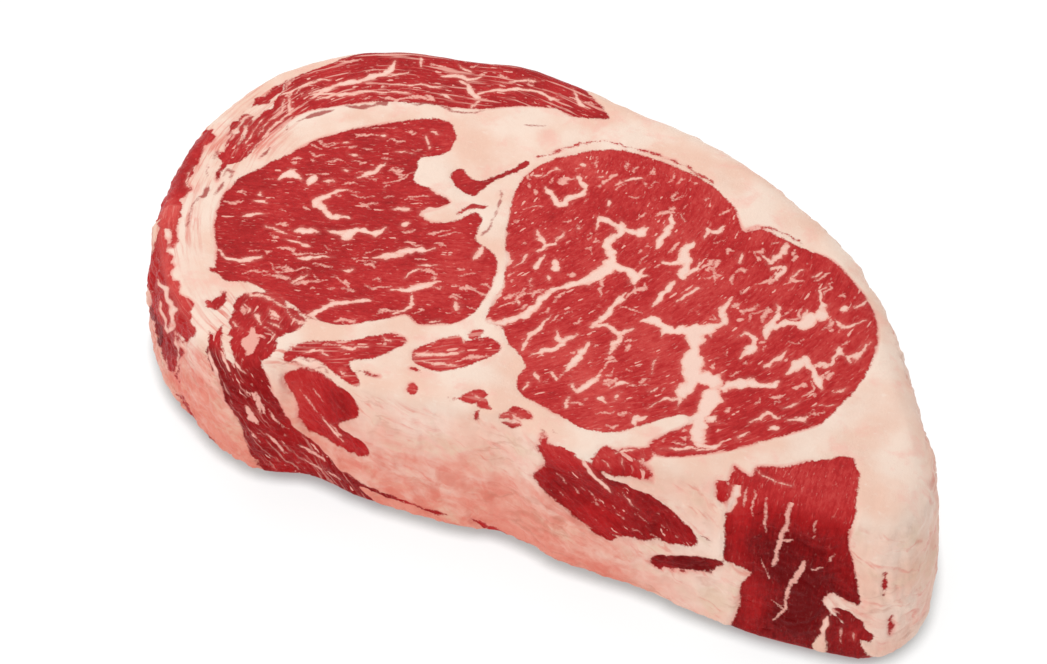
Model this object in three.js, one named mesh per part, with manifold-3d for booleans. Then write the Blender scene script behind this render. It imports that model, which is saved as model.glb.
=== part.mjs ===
// A raw, thick-cut boneless ribeye steak lying on its flat lower face.
// One body of fat and seam tissue carries the separate lean muscles, each of which is a solid of its own.
// Units are millimetres, +Z is up and the steak's long side runs along X.
import * as THREE from 'three';
import { mergeVertices } from 'three/addons/utils/BufferGeometryUtils.js';
import Module from 'manifold-3d';

const wasm = await Module();
wasm.setup();

// ---------------------------------------------------------------- driving dimensions
const THICKNESS = 48;            // cut thickness of the steak
const FOOT_RADIUS = 3.5;         // rounding of the lower edge
const GAP = 0.3;                 // play kept between touching pieces
const SPAN_STEPS = 3;            // facets between two rim points
const FINE = 2;                  // facets between two points of a small muscle's outline
const PLAIN = 1;                 // the same for a large muscle, whose points lie closer
const WALL_LEVELS = [0.25, 0.5, 0.75];  // rings up the side, as shares of its height
const EDGE_TURNS = [0, Math.PI / 4, Math.PI / 2];  // rings round the lower and the upper edge
// Rings of the top face from its edge inwards: [share of the way out, keep every so-manyth point].
const TOP_RINGS = [[1, 1], [0.9, 2], [0.76, 2], [0.62, 2], [0.47, 2], [0.32, 4], [0.17, 4]];

// The rim of the top face, counter-clockwise from the right end.
const RIM = [
  [86, 1.5], [77, 16], [66, 28], [53, 37.5], [40, 45.5], [27, 51.5], [12, 55.5], [-3, 58.5],
  [-18, 62.5], [-33, 64.5], [-47, 62], [-61, 60], [-74, 56], [-86, 48], [-96, 37], [-102, 22],
  [-105, 5], [-103.5, -11], [-100, -26], [-92, -40], [-83, -50], [-72, -58], [-60, -62], [-47, -59],
  [-34, -60.5], [-20, -60], [-6, -58.5], [8, -58], [20, -61.5], [33, -61.8], [47, -59.5], [61, -58.5],
  [75, -59], [89, -59], [99.5, -57.5], [104.5, -51], [105, -41], [102, -31], [97.5, -21], [92, -10],
];

// How the side departs from a straight wall, as [direction in degrees, width in degrees, size].
const FLARE_BASE = -1;           // the foot stands in from the rim except where it flares
const FLARES = [[-5, 24, 11.5], [-170, 21, 8], [-42, 13, 6.5], [-97, 12, 2], [-138, 12, -1.5]];
const BELLY_BASE = 0.9;          // outward swell at half height
const BELLIES = [[-175, 45, 1.6], [60, 60, 1.2], [-15, 20, 0.3]];
const EDGE_BASE = 3.2;           // rounding of the upper edge, wider over the fat cap
const EDGES = [[-12, 28, 2.6], [60, 60, 1.8], [170, 40, 1]];
// Shallow hollows that the ribs left in the long side: [x, width, z, height, depth].
const RIB_HOLLOWS = [[-12, 15, 27, 15, 1.8], [34, 15, 30, 12, 1.6], [66, 8, 15, 10, 0.9]];
// Low swells and dips of the top face: [x, y, radius, height].
const TOP_SWELLS = [
  [34, -8, 34, 1.1], [-52, -4, 26, 0.9], [-28, 22, 10, -0.9], [-22, -42, 9, -0.6],
  [4, -42, 8, -0.7], [47, -36, 8, -0.5], [90, -28, 10, -0.5], [-84, 22, 9, -0.5],
];

// ---------------------------------------------------------------- outlines of the muscles
// Seen from above. Each runs down through the steak, and drifts and shrinks a little on the way.
const EYE = [
  [-16.5, 24], [-13.5, 29], [-9, 33], [-4, 37], [2, 39.2], [8, 39.9], [15, 39.2], [22, 37.6], [29, 35],
  [34.5, 32], [38.5, 28], [41, 23.5], [43.5, 20.8], [47, 22.8], [53, 22], [60, 20.3], [67, 18.7],
  [73, 14.5], [78, 10], [81.8, 4], [84, -4], [84.3, -12], [83, -20], [80.5, -27], [77.5, -34],
  [72, -39.5], [65, -45], [57, -51], [50, -54.8], [44, -56.6], [41.5, -53.8], [45, -49.2], [48, -45.5],
  [46.3, -42.8], [42, -46], [37, -50.2], [32, -54], [26, -55.2], [20, -53.5], [14, -51.8], [8, -50],
  [5, -46], [5.5, -41], [3, -38], [-1, -35.5], [-4, -31.5], [-8.5, -31], [-9, -24], [-9, -16],
  [-12, -7], [-14.5, 0], [-16.5, 8], [-17.5, 16],
];
const LARGE_LEFT = [
  [-88, -15], [-85.5, -24], [-81.5, -30.5], [-78.5, -37.5], [-74, -40.3], [-69, -39], [-62, -40.2],
  [-56, -42], [-51, -44.3], [-46, -45], [-39, -43.5], [-33, -39.5], [-27.5, -35.2], [-23.5, -37],
  [-19, -35.6], [-14.5, -33.8], [-11.6, -29], [-11, -22], [-11.2, -15], [-13, -9.5], [-16.5, -7.5],
  [-20.5, -5], [-21, 1], [-23.5, 4], [-28, -1], [-33.5, -3.8], [-37, -1.8], [-34, 1], [-31.5, 5],
  [-37, 7.5], [-43, 8.8], [-44, 13], [-45, 18.3], [-41, 20.8], [-38.7, 25], [-39.5, 30.5],
  [-43.5, 34.5], [-49.5, 33.8], [-56, 30], [-63, 24.5], [-70, 19.3], [-75, 14], [-79, 7],
  [-83.5, 0.5], [-87.3, -6],
];
const OUTER_BAND = [
  [-3, 50.3], [-7, 54.5], [-12, 58.5], [-20, 69], [-45, 71], [-70, 66], [-77.5, 53], [-84, 44.5],
  [-90, 36], [-94.5, 27], [-97, 17], [-98.3, 8], [-97.3, 2], [-94.8, -1], [-91.8, -2], [-89, 1],
  [-87.5, 8], [-85, 17], [-82, 24.5], [-76, 28.3], [-69, 32.5], [-61, 36], [-52, 38.5], [-44, 40],
  [-37, 42], [-31, 45], [-25, 48], [-18, 49.3], [-13, 47.5], [-8, 48.5],
];
const COMMA = [
  [-33.5, 18.2], [-35.2, 15.5], [-33.5, 12], [-30, 10], [-26.8, 9.8], [-25.4, 12.5], [-24.4, 16],
  [-21.5, 19.8], [-18.6, 23.5], [-17.6, 27], [-19.4, 26.3], [-22.3, 21.6], [-25.4, 17.4], [-29, 15.4],
];
const RIB_LEFT = [
  [-24, -43.5], [-27.5, -42], [-31.5, -43.6], [-36, -47], [-41, -49.3], [-46, -51.2], [-49.8, -54],
  [-50.6, -58], [-49, -59.6], [-47, -57], [-42, -56.2], [-37.5, -58.3], [-33, -60.6], [-29.8, -60.6],
  [-30.4, -58.3], [-33.8, -55.5], [-33.5, -53], [-30, -51.8], [-27, -48],
];
const RIB_MIDDLE = [
  [-21.5, -45], [-20.5, -48], [-18, -49.5], [-13, -49.6], [-8, -46.5], [-4.5, -42.5], [-1.8, -38.5],
  [-2.6, -36.4], [-6, -35.4], [-10.5, -38], [-13, -37], [-18, -40.7],
];
const CHAIN = [
  [-69.5, -44], [-68, -51], [-70, -58], [-71, -68], [-57, -68], [-56, -59], [-53.8, -53.5],
  [-52.8, -49], [-57, -45.5], [-63, -42.8],
];
const RIB_EDGE = [[31, -58.7], [30.6, -66], [43, -66], [44.2, -61], [43, -59.4], [39, -58.6], [35, -58.2]];
const CORNER_PLAN = [
  [60, -54.6], [60, -80], [112, -80], [112, -56], [98, -55.5], [91.5, -56], [90.4, -52.5],
  [89.6, -47], [87.4, -42.4], [85, -41.6], [79, -45], [72, -49.8], [66.8, -51.6], [65.8, -54.6],
];

// Seen on the long side, as [x, z]. These are pockets in the side of the steak.
const SIDE_OVAL = [
  [-50, 42], [-48.7, 38], [-46.7, 33], [-47.2, 28.5], [-46, 24.8], [-42, 22.8], [-36.5, 22],
  [-31.5, 20.6], [-28.3, 22.8], [-29, 26.5], [-32.5, 29], [-35.5, 30], [-35, 32.2], [-30.8, 35.5],
  [-30.2, 40], [-32.5, 44], [-37, 46.2], [-42.5, 46.6], [-47.3, 45.2],
];
const SIDE_DIAMOND = [
  [15.5, 44.5], [18, 41.5], [17.5, 38], [15.5, 34], [15, 31], [20, 27.5], [26, 23], [31, 19.8],
  [36, 20], [42, 21.2], [48, 23.3], [54, 24.3], [57, 27], [55, 30], [50, 34], [44, 37.5], [38, 39.8],
  [33, 42], [31, 45.5], [25, 46.5], [19, 46.8],
];
const SIDE_SLIT = [
  [45.3, 15], [47.5, 13.8], [50, 15.8], [54, 17.2], [58.5, 17.8], [61, 20], [61.5, 22], [58, 22.2],
  [53, 20.8], [49, 18.7],
];
const CORNER_FACE = [
  [62.3, 60], [62.3, 44], [62.5, 36], [63.5, 29], [63.5, 25], [68, 24.2], [70.5, 22.5], [68.8, 18],
  [69, 10], [68.7, -5], [87.5, -5], [88, 4], [90, 9.5], [91.5, 4], [93, -5], [106, -5], [101.5, 3],
  [98, 9.5], [94.5, 14.5], [90.5, 17.5], [88.3, 21], [90.5, 24], [96.5, 22.3], [95.5, 28], [93, 35],
  [90.8, 42], [90, 60],
];
// Seen on the left end, as [y, z].
const END_STRIP = [
  [-24, 49], [-46, 49], [-51, 44], [-50, 38], [-43, 33], [-36, 31], [-30, 25], [-26, 16], [-24, 6],
  [-25, -4], [-8, -4], [-8.5, 6], [-10.5, 18], [-13.5, 28], [-17, 32.5], [-24, 34], [-30, 38], [-31, 44],
];

// How deep each pocket goes into the side.
const OVAL_DEPTH = 7;
const DIAMOND_DEPTH = 9;
const SLIT_DEPTH = 4;
const STRIP_DEPTH = 5;
const RIB_EDGE_FLOOR = 43;       // height of the small edge muscle's lower end
const RIB_LEFT_FLOOR = 41;       // the left rib muscle is a shallow one, and slopes inwards
const RIB_MIDDLE_FLOOR = 22;     // the middle one ends inside the fat
const COMMA_FLOOR = 12;
const BEYOND = 12;               // how far a cutting solid reaches past the steak

// ---------------------------------------------------------------- curves and the outer form
// Closed smooth curve through the points, with `steps` facets between two of them.
function closedCurve(points, steps) {
  const count = points.length;
  const curve = [];
  for (let i = 0; i < count; i++) {
    const [before, here, next, after] = [-1, 0, 1, 2].map((k) => points[(i + k + count) % count]);
    for (let s = 0; s < steps; s++) {
      const t = s / steps;
      curve.push([0, 1].map((axis) => {
        const [a, b, c, d] = [before[axis], here[axis], next[axis], after[axis]];
        return 0.5 * (2 * b + (c - a) * t + (2 * a - 5 * b + 4 * c - d) * t * t
          + (3 * b - a - 3 * c + d) * t * t * t);
      }));
    }
  }
  return curve;
}

// Outward unit normals of a counter-clockwise closed curve, evened out `passes` times.
function outwardNormals(curve, passes = 0) {
  const count = curve.length;
  let normals = curve.map((_, i) => {
    const [x0, y0] = curve[(i - 1 + count) % count];
    const [x1, y1] = curve[(i + 1) % count];
    return new THREE.Vector2(y1 - y0, x0 - x1).normalize();
  });
  for (let pass = 0; pass < passes; pass++) {
    normals = normals.map((normal, i) => normal.clone()
      .add(normals[(i - 1 + count) % count])
      .add(normals[(i + 1) % count])
      .normalize());
  }
  return normals;
}

// Sum of bell-shaped terms around a direction in degrees.
function around(angle, base, terms) {
  return terms.reduce((sum, [centre, width, size]) => {
    const turn = THREE.MathUtils.euclideanModulo(angle - centre + 180, 360) - 180;
    return sum + size * Math.exp(-((turn / width) ** 2));
  }, base);
}

function topHeight(x, y) {
  return TOP_SWELLS.reduce((height, [cx, cy, radius, rise]) => (
    height + rise * Math.exp(-((x - cx) ** 2 + (y - cy) ** 2) / radius ** 2)), THICKNESS);
}

function ribHollow(x, y, z) {
  if (y > 0) return 0;
  return RIB_HOLLOWS.reduce((depth, [cx, width, cz, height, deep]) => (
    depth + deep * Math.exp(-(((x - cx) / width) ** 2) - ((z - cz) / height) ** 2)), 0);
}

const rim = closedCurve(RIM, SPAN_STEPS);
const rimNormals = outwardNormals(rim, 4);
const wall = rim.map(([x, y], i) => {
  const angle = THREE.MathUtils.radToDeg(Math.atan2(y, x));
  return {
    x,
    y,
    normal: rimNormals[i],
    flare: around(angle, FLARE_BASE, FLARES),
    belly: around(angle, BELLY_BASE, BELLIES),
    edge: around(angle, EDGE_BASE, EDGES),
  };
});

// A point of the side, `share` of the way up, moved outwards by `extra`.
function wallPoint({ x, y, normal, flare, belly }, share, extra) {
  const out = flare * (1 - share) + belly * 4 * share * (1 - share) + extra
    - ribHollow(x, y, share * THICKNESS);
  return [x + normal.x * out, y + normal.y * out];
}

// The whole outer form as one closed solid.
function outerForm() {
  const rings = [];
  for (const turn of EDGE_TURNS) {
    const z = FOOT_RADIUS * (1 - Math.cos(turn));
    const inwards = FOOT_RADIUS * (1 - Math.sin(turn));
    rings.push(wall.map((w) => [...wallPoint(w, z / THICKNESS, -inwards), z]));
  }
  for (const share of WALL_LEVELS) {
    rings.push(wall.map((w) => [...wallPoint(w, share, 0), share * THICKNESS]));
  }
  for (const turn of EDGE_TURNS) {
    rings.push(wall.map((w) => {
      const z = THICKNESS - w.edge * (1 - Math.sin(turn));
      return [...wallPoint(w, z / THICKNESS, -w.edge * (1 - Math.cos(turn))), z];
    }));
  }
  const edge = rings.pop();
  for (const [share, every] of TOP_RINGS) {
    rings.push(edge.filter((_, i) => i % every === 0)
      .map(([x, y]) => [x * share, y * share, topHeight(x * share, y * share)]));
  }
  return ringSolid(rings, [0, 0, 0], [0, 0, topHeight(0, 0)]);
}

// The inner part of the steak, `depth` inside its wall and open-ended above and below.
function core(depth) {
  const inner = wall.filter((_, i) => i % 2 === 0);
  const levels = [-BEYOND, ...WALL_LEVELS.map((share) => share * THICKNESS), THICKNESS + BEYOND];
  const rings = levels.map((z) => inner.map((w) => {
    const share = THREE.MathUtils.clamp(z / THICKNESS, 0, 1);
    return [...wallPoint(w, share, -depth), z];
  }));
  return ringSolid(rings, [0, 0, -BEYOND], [0, 0, THICKNESS + BEYOND]);
}

// Joins stacked rings into a closed solid, with a point in the middle of each end.
// A ring has as many points as the one below it, or half as many.
function ringSolid(rings, bottomCentre, topCentre) {
  const positions = rings.flat().concat([bottomCentre, topCentre]).flat();
  const total = positions.length / 3;
  const faces = [];
  let start = 0;
  rings.forEach((ring, level) => {
    const size = ring.length;
    const above = rings[level + 1];
    const base = start + size;
    for (let i = 0; i < size; i++) {
      const a = start + i;
      const b = start + ((i + 1) % size);
      if (level === 0) faces.push(total - 2, b, a);
      if (!above) faces.push(total - 1, a, b);
      else if (above.length === size) faces.push(a, b, base + b - start, a, base + b - start, base + i);
      else if (i % 2 === 0) faces.push(a, b, base + i / 2);
      else {
        const next = base + (((i + 1) / 2) % above.length);
        faces.push(a, b, next, a, next, base + (i - 1) / 2);
      }
    }
    start = base;
  });
  const geometry = new THREE.BufferGeometry();
  geometry.setAttribute('position', new THREE.Float32BufferAttribute(positions, 3));
  geometry.setIndex(faces);
  return toSolid(geometry);
}

// ---------------------------------------------------------------- solids and geometry
function toSolid(geometry) {
  const bare = mergeVertices(geometry, 1e-5);
  return new wasm.Manifold(new wasm.Mesh({
    numProp: 3,
    vertProperties: new Float32Array(bare.attributes.position.array),
    triVerts: new Uint32Array(bare.index.array),
  }));
}

function toGeometry(solid) {
  const { vertProperties, triVerts } = solid.getMesh();
  const geometry = new THREE.BufferGeometry();
  geometry.setAttribute('position', new THREE.BufferAttribute(new Float32Array(vertProperties), 3));
  geometry.setIndex(new THREE.BufferAttribute(new Uint32Array(triVerts), 1));
  geometry.computeVertexNormals();
  return geometry;
}

// A closed curve turned counter-clockwise and moved outwards by `amount`.
function grown(points, amount) {
  const turnsRight = THREE.ShapeUtils.isClockWise(points.map(([x, y]) => new THREE.Vector2(x, y)));
  const curve = turnsRight ? [...points].reverse() : points;
  const normals = outwardNormals(curve);
  return curve.map(([x, y], i) => [x + normals[i].x * amount, y + normals[i].y * amount]);
}

// A prism over a plane outline, from depth `near` to `far`, as a closed solid.
function prism(curve, near, far, place) {
  const flat = curve.map(([u, v]) => new THREE.Vector2(u, v));
  const faces = THREE.ShapeUtils.triangulateShape(flat, []);
  const size = curve.length;
  const positions = [near, far].flatMap((depth) => curve.flatMap(([u, v]) => place(u, v, depth)));
  const index = [];
  for (const [a, b, c] of faces) index.push(c, b, a, a + size, b + size, c + size);
  for (let i = 0; i < size; i++) {
    const next = (i + 1) % size;
    index.push(i, next, next + size, i, next + size, i + size);
  }
  const geometry = new THREE.BufferGeometry();
  geometry.setAttribute('position', new THREE.Float32BufferAttribute(positions, 3));
  geometry.setIndex(index);
  return toSolid(geometry);
}

// A muscle that runs down through the steak. `levels` give its drift and stretch at each height.
function column(points, grow, levels, steps = FINE) {
  const outline = grown(closedCurve(points, steps), grow);
  const middle = outline.reduce((sum, [x, y]) => [sum[0] + x, sum[1] + y], [0, 0])
    .map((total) => total / outline.length);
  const faces = THREE.ShapeUtils.triangulateShape(outline.map(([x, y]) => new THREE.Vector2(x, y)), []);
  const size = outline.length;
  const positions = levels.flatMap(({ z, drift, stretch }) => outline.flatMap(([x, y]) => [
    middle[0] + (x - middle[0]) * stretch[0] + drift[0],
    middle[1] + (y - middle[1]) * stretch[1] + drift[1],
    z,
  ]));
  const topRing = (levels.length - 1) * size;
  const index = [];
  for (const [a, b, c] of faces) index.push(c, b, a, a + topRing, b + topRing, c + topRing);
  for (let ring = 0; ring < topRing; ring += size) {
    for (let i = 0; i < size; i++) {
      const a = ring + i;
      const b = ring + ((i + 1) % size);
      index.push(a, b, b + size, a, b + size, a + size);
    }
  }
  const geometry = new THREE.BufferGeometry();
  geometry.setAttribute('position', new THREE.Float32BufferAttribute(positions, 3));
  geometry.setIndex(index);
  return toSolid(geometry);
}

// Levels of a muscle that reaches from `floor` past the top face and drifts evenly on its way down.
function through(floor, drift, stretch = [1, 1]) {
  const depth = THICKNESS + BEYOND;
  return [
    { z: floor, drift, stretch },
    { z: depth, drift: drift.map((d) => (-d * BEYOND) / (THICKNESS - floor)), stretch: [1, 1] },
  ];
}

// A pocket in the side: a prism through the wall without the inner part of the steak.
function pocket(points, grow, depth, near, far, place) {
  const curve = grown(closedCurve(points, FINE), grow);
  return prism(curve, near, far, place).subtract(core(depth + grow));
}

const fromFront = (x, z, depth) => [x, depth, z];
const fromLeft = (y, z, depth) => [depth, y, z];

// ---------------------------------------------------------------- the pieces
const LEAN_BRIGHT = 0xc23a3c;
const LEAN_DEEP = 0xa92f33;
const LEAN_DARK = 0x8c1f22;
const FAT_CREAM = 0xf0d2c0;
const LEAN_FINISH = { roughness: 0.42, metalness: 0 };
const FAT_FINISH = { roughness: 0.5, metalness: 0 };

const chainLevels = [
  { z: -BEYOND, drift: [30, 0], stretch: [3, 0.95] },
  { z: 0, drift: [23, 0], stretch: [2.3, 0.95] },
  { z: THICKNESS / 2, drift: [7, 0], stretch: [1, 0.98] },
  { z: THICKNESS + BEYOND, drift: [-3, 0], stretch: [1, 1] },
];

// Each muscle: its name, its colour and its solid grown by a given amount, in the order of cutting.
const MUSCLES = [
  ['eye_muscle', LEAN_BRIGHT, (grow) => column(EYE, grow, through(-BEYOND, [3, -1], [0.96, 0.95]), PLAIN)],
  ['large_left_muscle', LEAN_DEEP,
    (grow) => column(LARGE_LEFT, grow, through(-BEYOND, [-1, -1.5], [0.95, 0.94]), PLAIN)],
  ['outer_band_muscle', LEAN_DEEP,
    (grow) => column(OUTER_BAND, grow, through(-BEYOND, [0, -5], [1, 0.94]), PLAIN)],
  ['comma_muscle', LEAN_DARK, (grow) => column(COMMA, grow, through(COMMA_FLOOR - grow, [-2, 3]))],
  ['rib_left_muscle', LEAN_DEEP, (grow) => column(RIB_LEFT, grow, through(RIB_LEFT_FLOOR - grow, [0, 6]))],
  ['rib_middle_muscle', LEAN_BRIGHT,
    (grow) => column(RIB_MIDDLE, grow, through(RIB_MIDDLE_FLOOR - grow, [0, 1]))],
  ['rib_edge_muscle', LEAN_BRIGHT, (grow) => column(RIB_EDGE, grow, through(RIB_EDGE_FLOOR - grow, [0, 0]))],
  ['chain_muscle', LEAN_DARK, (grow) => column(CHAIN, grow, chainLevels)],
  ['corner_muscle', LEAN_DARK, (grow) => prism(grown(CORNER_FACE, grow), -40, -90, fromFront)
    .intersect(column(CORNER_PLAN, grow, through(-BEYOND, [0, 0]), PLAIN))],
  ['side_oval_muscle', LEAN_BRIGHT,
    (grow) => pocket(SIDE_OVAL, grow, OVAL_DEPTH, -30, -90, fromFront)],
  ['side_diamond_muscle', LEAN_DARK,
    (grow) => pocket(SIDE_DIAMOND, grow, DIAMOND_DEPTH, -30, -90, fromFront)],
  ['side_slit_muscle', LEAN_DARK, (grow) => pocket(SIDE_SLIT, grow, SLIT_DEPTH, -30, -90, fromFront)],
  ['end_strip_muscle', LEAN_DEEP, (grow) => pocket(END_STRIP, grow, STRIP_DEPTH, -130, -60, fromLeft)],
];

function piece(name, color, finish, solid) {
  const mesh = new THREE.Mesh(
    toGeometry(solid),
    new THREE.MeshStandardMaterial({ color, ...finish }),
  );
  mesh.name = name;
  return mesh;
}

const steak = new THREE.Group();
const whole = outerForm();
let fat = whole;
for (const [name, color, shape] of MUSCLES) {
  const lean = shape(0).intersect(fat);
  steak.add(piece(name, color, LEAN_FINISH, lean));
  fat = fat.subtract(shape(GAP));
}
steak.add(piece('fat', FAT_CREAM, FAT_FINISH, fat));

// The origin is under the middle of the steak, on the face it rests on.
const middle = new THREE.Box3().setFromBufferAttribute(toGeometry(whole).attributes.position)
  .getCenter(new THREE.Vector3());
steak.position.set(-middle.x, -middle.y, 0);

export default steak;
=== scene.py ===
# %% [markdown]
# # A raw ribeye steak around its CAD frame
# The frame holds fourteen solids: the body of fat and thirteen lean muscles. They carry the sizes.
# Here each one gets a finer skin in the same place, with relief, marbling and a moist surface.
# All lengths in this file are millimetres until the last step of each mesh, which makes them metres.

# %% Load the frame
import math

import bmesh
import bpy
import numpy as np
from mathutils import Matrix, Vector


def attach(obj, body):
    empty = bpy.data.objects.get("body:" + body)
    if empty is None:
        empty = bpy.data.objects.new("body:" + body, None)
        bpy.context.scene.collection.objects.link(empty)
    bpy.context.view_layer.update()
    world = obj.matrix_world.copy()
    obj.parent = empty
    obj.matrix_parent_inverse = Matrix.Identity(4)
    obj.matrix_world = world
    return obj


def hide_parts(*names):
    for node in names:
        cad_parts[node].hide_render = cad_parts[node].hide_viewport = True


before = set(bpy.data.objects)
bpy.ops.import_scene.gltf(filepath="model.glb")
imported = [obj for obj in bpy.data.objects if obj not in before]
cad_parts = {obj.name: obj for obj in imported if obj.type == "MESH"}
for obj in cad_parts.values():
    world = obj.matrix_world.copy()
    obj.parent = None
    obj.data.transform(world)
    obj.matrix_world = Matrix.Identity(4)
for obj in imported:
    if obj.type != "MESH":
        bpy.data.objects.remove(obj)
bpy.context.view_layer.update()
MM = 0.001

# %% [markdown]
# ## Camera, light and floor
# A cut of meat is judged from above, at the slant in which it lies on the counter.
# A long lens keeps the thickness honest. Two wide soft panels and a pale room light the meat, and two
# small panels make its glints, so it shows small soft highlights and no hard shadow. The counter glows
# by itself, and it dims close to the meat into a painted contact shadow.

# %% The camera
CAMERA_TURN = math.radians(20)
CAMERA_RISE = math.radians(48)
CAMERA_DISTANCE = 530
CAMERA_TARGET = Vector((-6.07, -10.46, 24))

back = Vector((
    math.sin(CAMERA_TURN) * math.cos(CAMERA_RISE),
    -math.cos(CAMERA_TURN) * math.cos(CAMERA_RISE),
    math.sin(CAMERA_RISE),
))
camera = bpy.data.objects.new("camera", bpy.data.cameras.new("camera"))
bpy.context.scene.collection.objects.link(camera)
camera.data.lens = 70
camera.data.sensor_width = 36
camera.location = (CAMERA_TARGET + back * CAMERA_DISTANCE) * MM
camera.rotation_mode = "QUATERNION"
camera.rotation_quaternion = (-back).to_track_quat("-Z", "Y")
bpy.context.scene.camera = camera


# %% Soft panels and a pale room
def soft_panel(name, place, aim, size, power):
    """A square area light at a place, turned towards a point, in millimetres."""
    light = bpy.data.lights.new(name, "AREA")
    light.shape = "SQUARE"
    light.size = size * MM
    light.energy = power
    panel = bpy.data.objects.new(name, light)
    bpy.context.scene.collection.objects.link(panel)
    panel.location = Vector(place) * MM
    panel.rotation_mode = "QUATERNION"
    panel.rotation_quaternion = (Vector(aim) - Vector(place)).to_track_quat("-Z", "Y")
    return panel


soft_panel("overhead_panel", (-160, 200, 620), (0, 0, 20), 420, 1.5)
soft_panel("front_panel", (-260, -620, 420), (0, 0, 20), 420, 1.3)
soft_panel("upper_glint", (-130, 340, 600), (0, 0, 48), 90, 0.16)
soft_panel("edge_glint", (-200, -640, 250), (0, -40, 40), 80, 0.14)

room = bpy.data.worlds.new("pale_room")
room.use_nodes = True
room.node_tree.nodes["Background"].inputs["Color"].default_value = (1.0, 0.99, 0.98, 1)
room.node_tree.nodes["Background"].inputs["Strength"].default_value = 0.62
bpy.context.scene.world = room
bpy.context.scene.view_settings.view_transform = "Standard"
bpy.context.scene.view_settings.look = "None"

# %% The counter
COUNTER_METRES = 6
bpy.ops.mesh.primitive_plane_add(size=COUNTER_METRES)
counter = bpy.context.object
counter.name = "counter"
counter_paint = bpy.data.materials.new("pale_counter")
counter_paint.use_nodes = True
counter_shader = counter_paint.node_tree.nodes["Principled BSDF"]
counter_shader.inputs["Base Color"].default_value = (0.25, 0.26, 0.26, 1)
counter_shader.inputs["Roughness"].default_value = 0.8
counter_shader.inputs["Specular IOR Level"].default_value = 0.0
# The counter glows by itself; an occlusion reading dims it close to the meat into a painted contact
# shadow.
counter_shader.inputs["Emission Color"].default_value = (1, 1, 1, 1)
contact = counter_paint.node_tree.nodes.new("ShaderNodeAmbientOcclusion")
contact.samples = 8
contact.inputs["Distance"].default_value = 0.004
glow_and_painted_shadow = counter_paint.node_tree.nodes.new("ShaderNodeMapRange")
for key, value in {"From Min": 0.35, "From Max": 0.95, "To Min": 0.3, "To Max": 0.82}.items():
    glow_and_painted_shadow.inputs[key].default_value = value
counter_paint.node_tree.links.new(contact.outputs["AO"], glow_and_painted_shadow.inputs["Value"])
counter_paint.node_tree.links.new(glow_and_painted_shadow.outputs[0], counter_shader.inputs["Emission Strength"])
counter.data.materials.append(counter_paint)

# %% [markdown]
# ## The outer form
# The steak is a slab cut across the rib: two nearly flat faces and a wall that bellies, flares out at
# the foot of its fat end and keeps the hollows that the ribs left. The wall is a rule and not a
# sculpture: a rim curve, its outward direction, and a few bell-shaped terms. The same named values
# make the CAD solids, so the skin made here lands on them.

# %% Driving sizes of the form
THICKNESS = 48
FOOT_RADIUS = 3.5
RIM = [
    (86, 1.5), (77, 16), (66, 28), (53, 37.5), (40, 45.5), (27, 51.5), (12, 55.5), (-3, 58.5),
    (-18, 62.5), (-33, 64.5), (-47, 62), (-61, 60), (-74, 56), (-86, 48), (-96, 37), (-102, 22),
    (-105, 5), (-103.5, -11), (-100, -26), (-92, -40), (-83, -50), (-72, -58), (-60, -62),
    (-47, -59), (-34, -60.5), (-20, -60), (-6, -58.5), (8, -58), (20, -61.5), (33, -61.8),
    (47, -59.5), (61, -58.5), (75, -59), (89, -59), (99.5, -57.5), (104.5, -51), (105, -41),
    (102, -31), (97.5, -21), (92, -10),
]
FLARE_BASE = -1
FLARES = [(-5, 24, 11.5), (-170, 21, 8), (-42, 13, 6.5), (-97, 12, 2), (-138, 12, -1.5)]
BELLY_BASE = 0.9
BELLIES = [(-175, 45, 1.6), (60, 60, 1.2), (-15, 20, 0.3)]
EDGE_BASE = 3.2
EDGES = [(-12, 28, 2.6), (60, 60, 1.8), (170, 40, 1)]
RIB_HOLLOWS = [(-12, 15, 27, 15, 1.8), (34, 15, 30, 12, 1.6), (66, 8, 15, 10, 0.9)]
TOP_SWELLS = [
    (34, -8, 34, 1.1), (-52, -4, 26, 0.9), (-28, 22, 10, -0.9), (-22, -42, 9, -0.6),
    (4, -42, 8, -0.7), (47, -36, 8, -0.5), (90, -28, 10, -0.5), (-84, 22, 9, -0.5),
]


# %% Curves through points
def smooth_path(points, steps, closed=True):
    """A smooth curve through the points, with `steps` facets between two of them."""
    points = np.asarray(points, float)
    count = len(points)
    spans = np.arange(count if closed else count - 1)
    shares = np.arange(steps) / steps
    spots = [(spans + k) % count if closed else np.clip(spans + k, 0, count - 1) for k in (-1, 0, 1, 2)]
    a, b, c, d = (points[spot][:, None, :] for spot in spots)
    t = shares[None, :, None]
    curve = 0.5 * (2 * b + (c - a) * t + (2 * a - 5 * b + 4 * c - d) * t**2
                   + (3 * b - a - 3 * c + d) * t**3)
    curve = curve.reshape(-1, 2)
    return curve if closed else np.vstack([curve, points[-1]])


def outward(curve, passes=0):
    """Outward unit normals of a counter-clockwise closed curve, evened out `passes` times."""
    ahead = np.roll(curve, -1, 0) - np.roll(curve, 1, 0)
    normals = np.stack([ahead[:, 1], -ahead[:, 0]], 1)
    normals /= np.linalg.norm(normals, axis=1)[:, None]
    for _ in range(passes):
        normals = normals + np.roll(normals, 1, 0) + np.roll(normals, -1, 0)
        normals /= np.linalg.norm(normals, axis=1)[:, None]
    return normals


def bells(angle, base, terms):
    """A base value plus bell-shaped terms around directions in degrees."""
    total = np.full_like(angle, base, dtype=float)
    for centre, width, size in terms:
        turn = (angle - centre + 180) % 360 - 180
        total += size * np.exp(-((turn / width) ** 2))
    return total


def top_height(x, y):
    """Height of the upper face with its low swells and hollows."""
    height = np.full_like(x, THICKNESS, dtype=float)
    for cx, cy, radius, rise in TOP_SWELLS:
        height += rise * np.exp(-((x - cx) ** 2 + (y - cy) ** 2) / radius**2)
    return height


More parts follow.
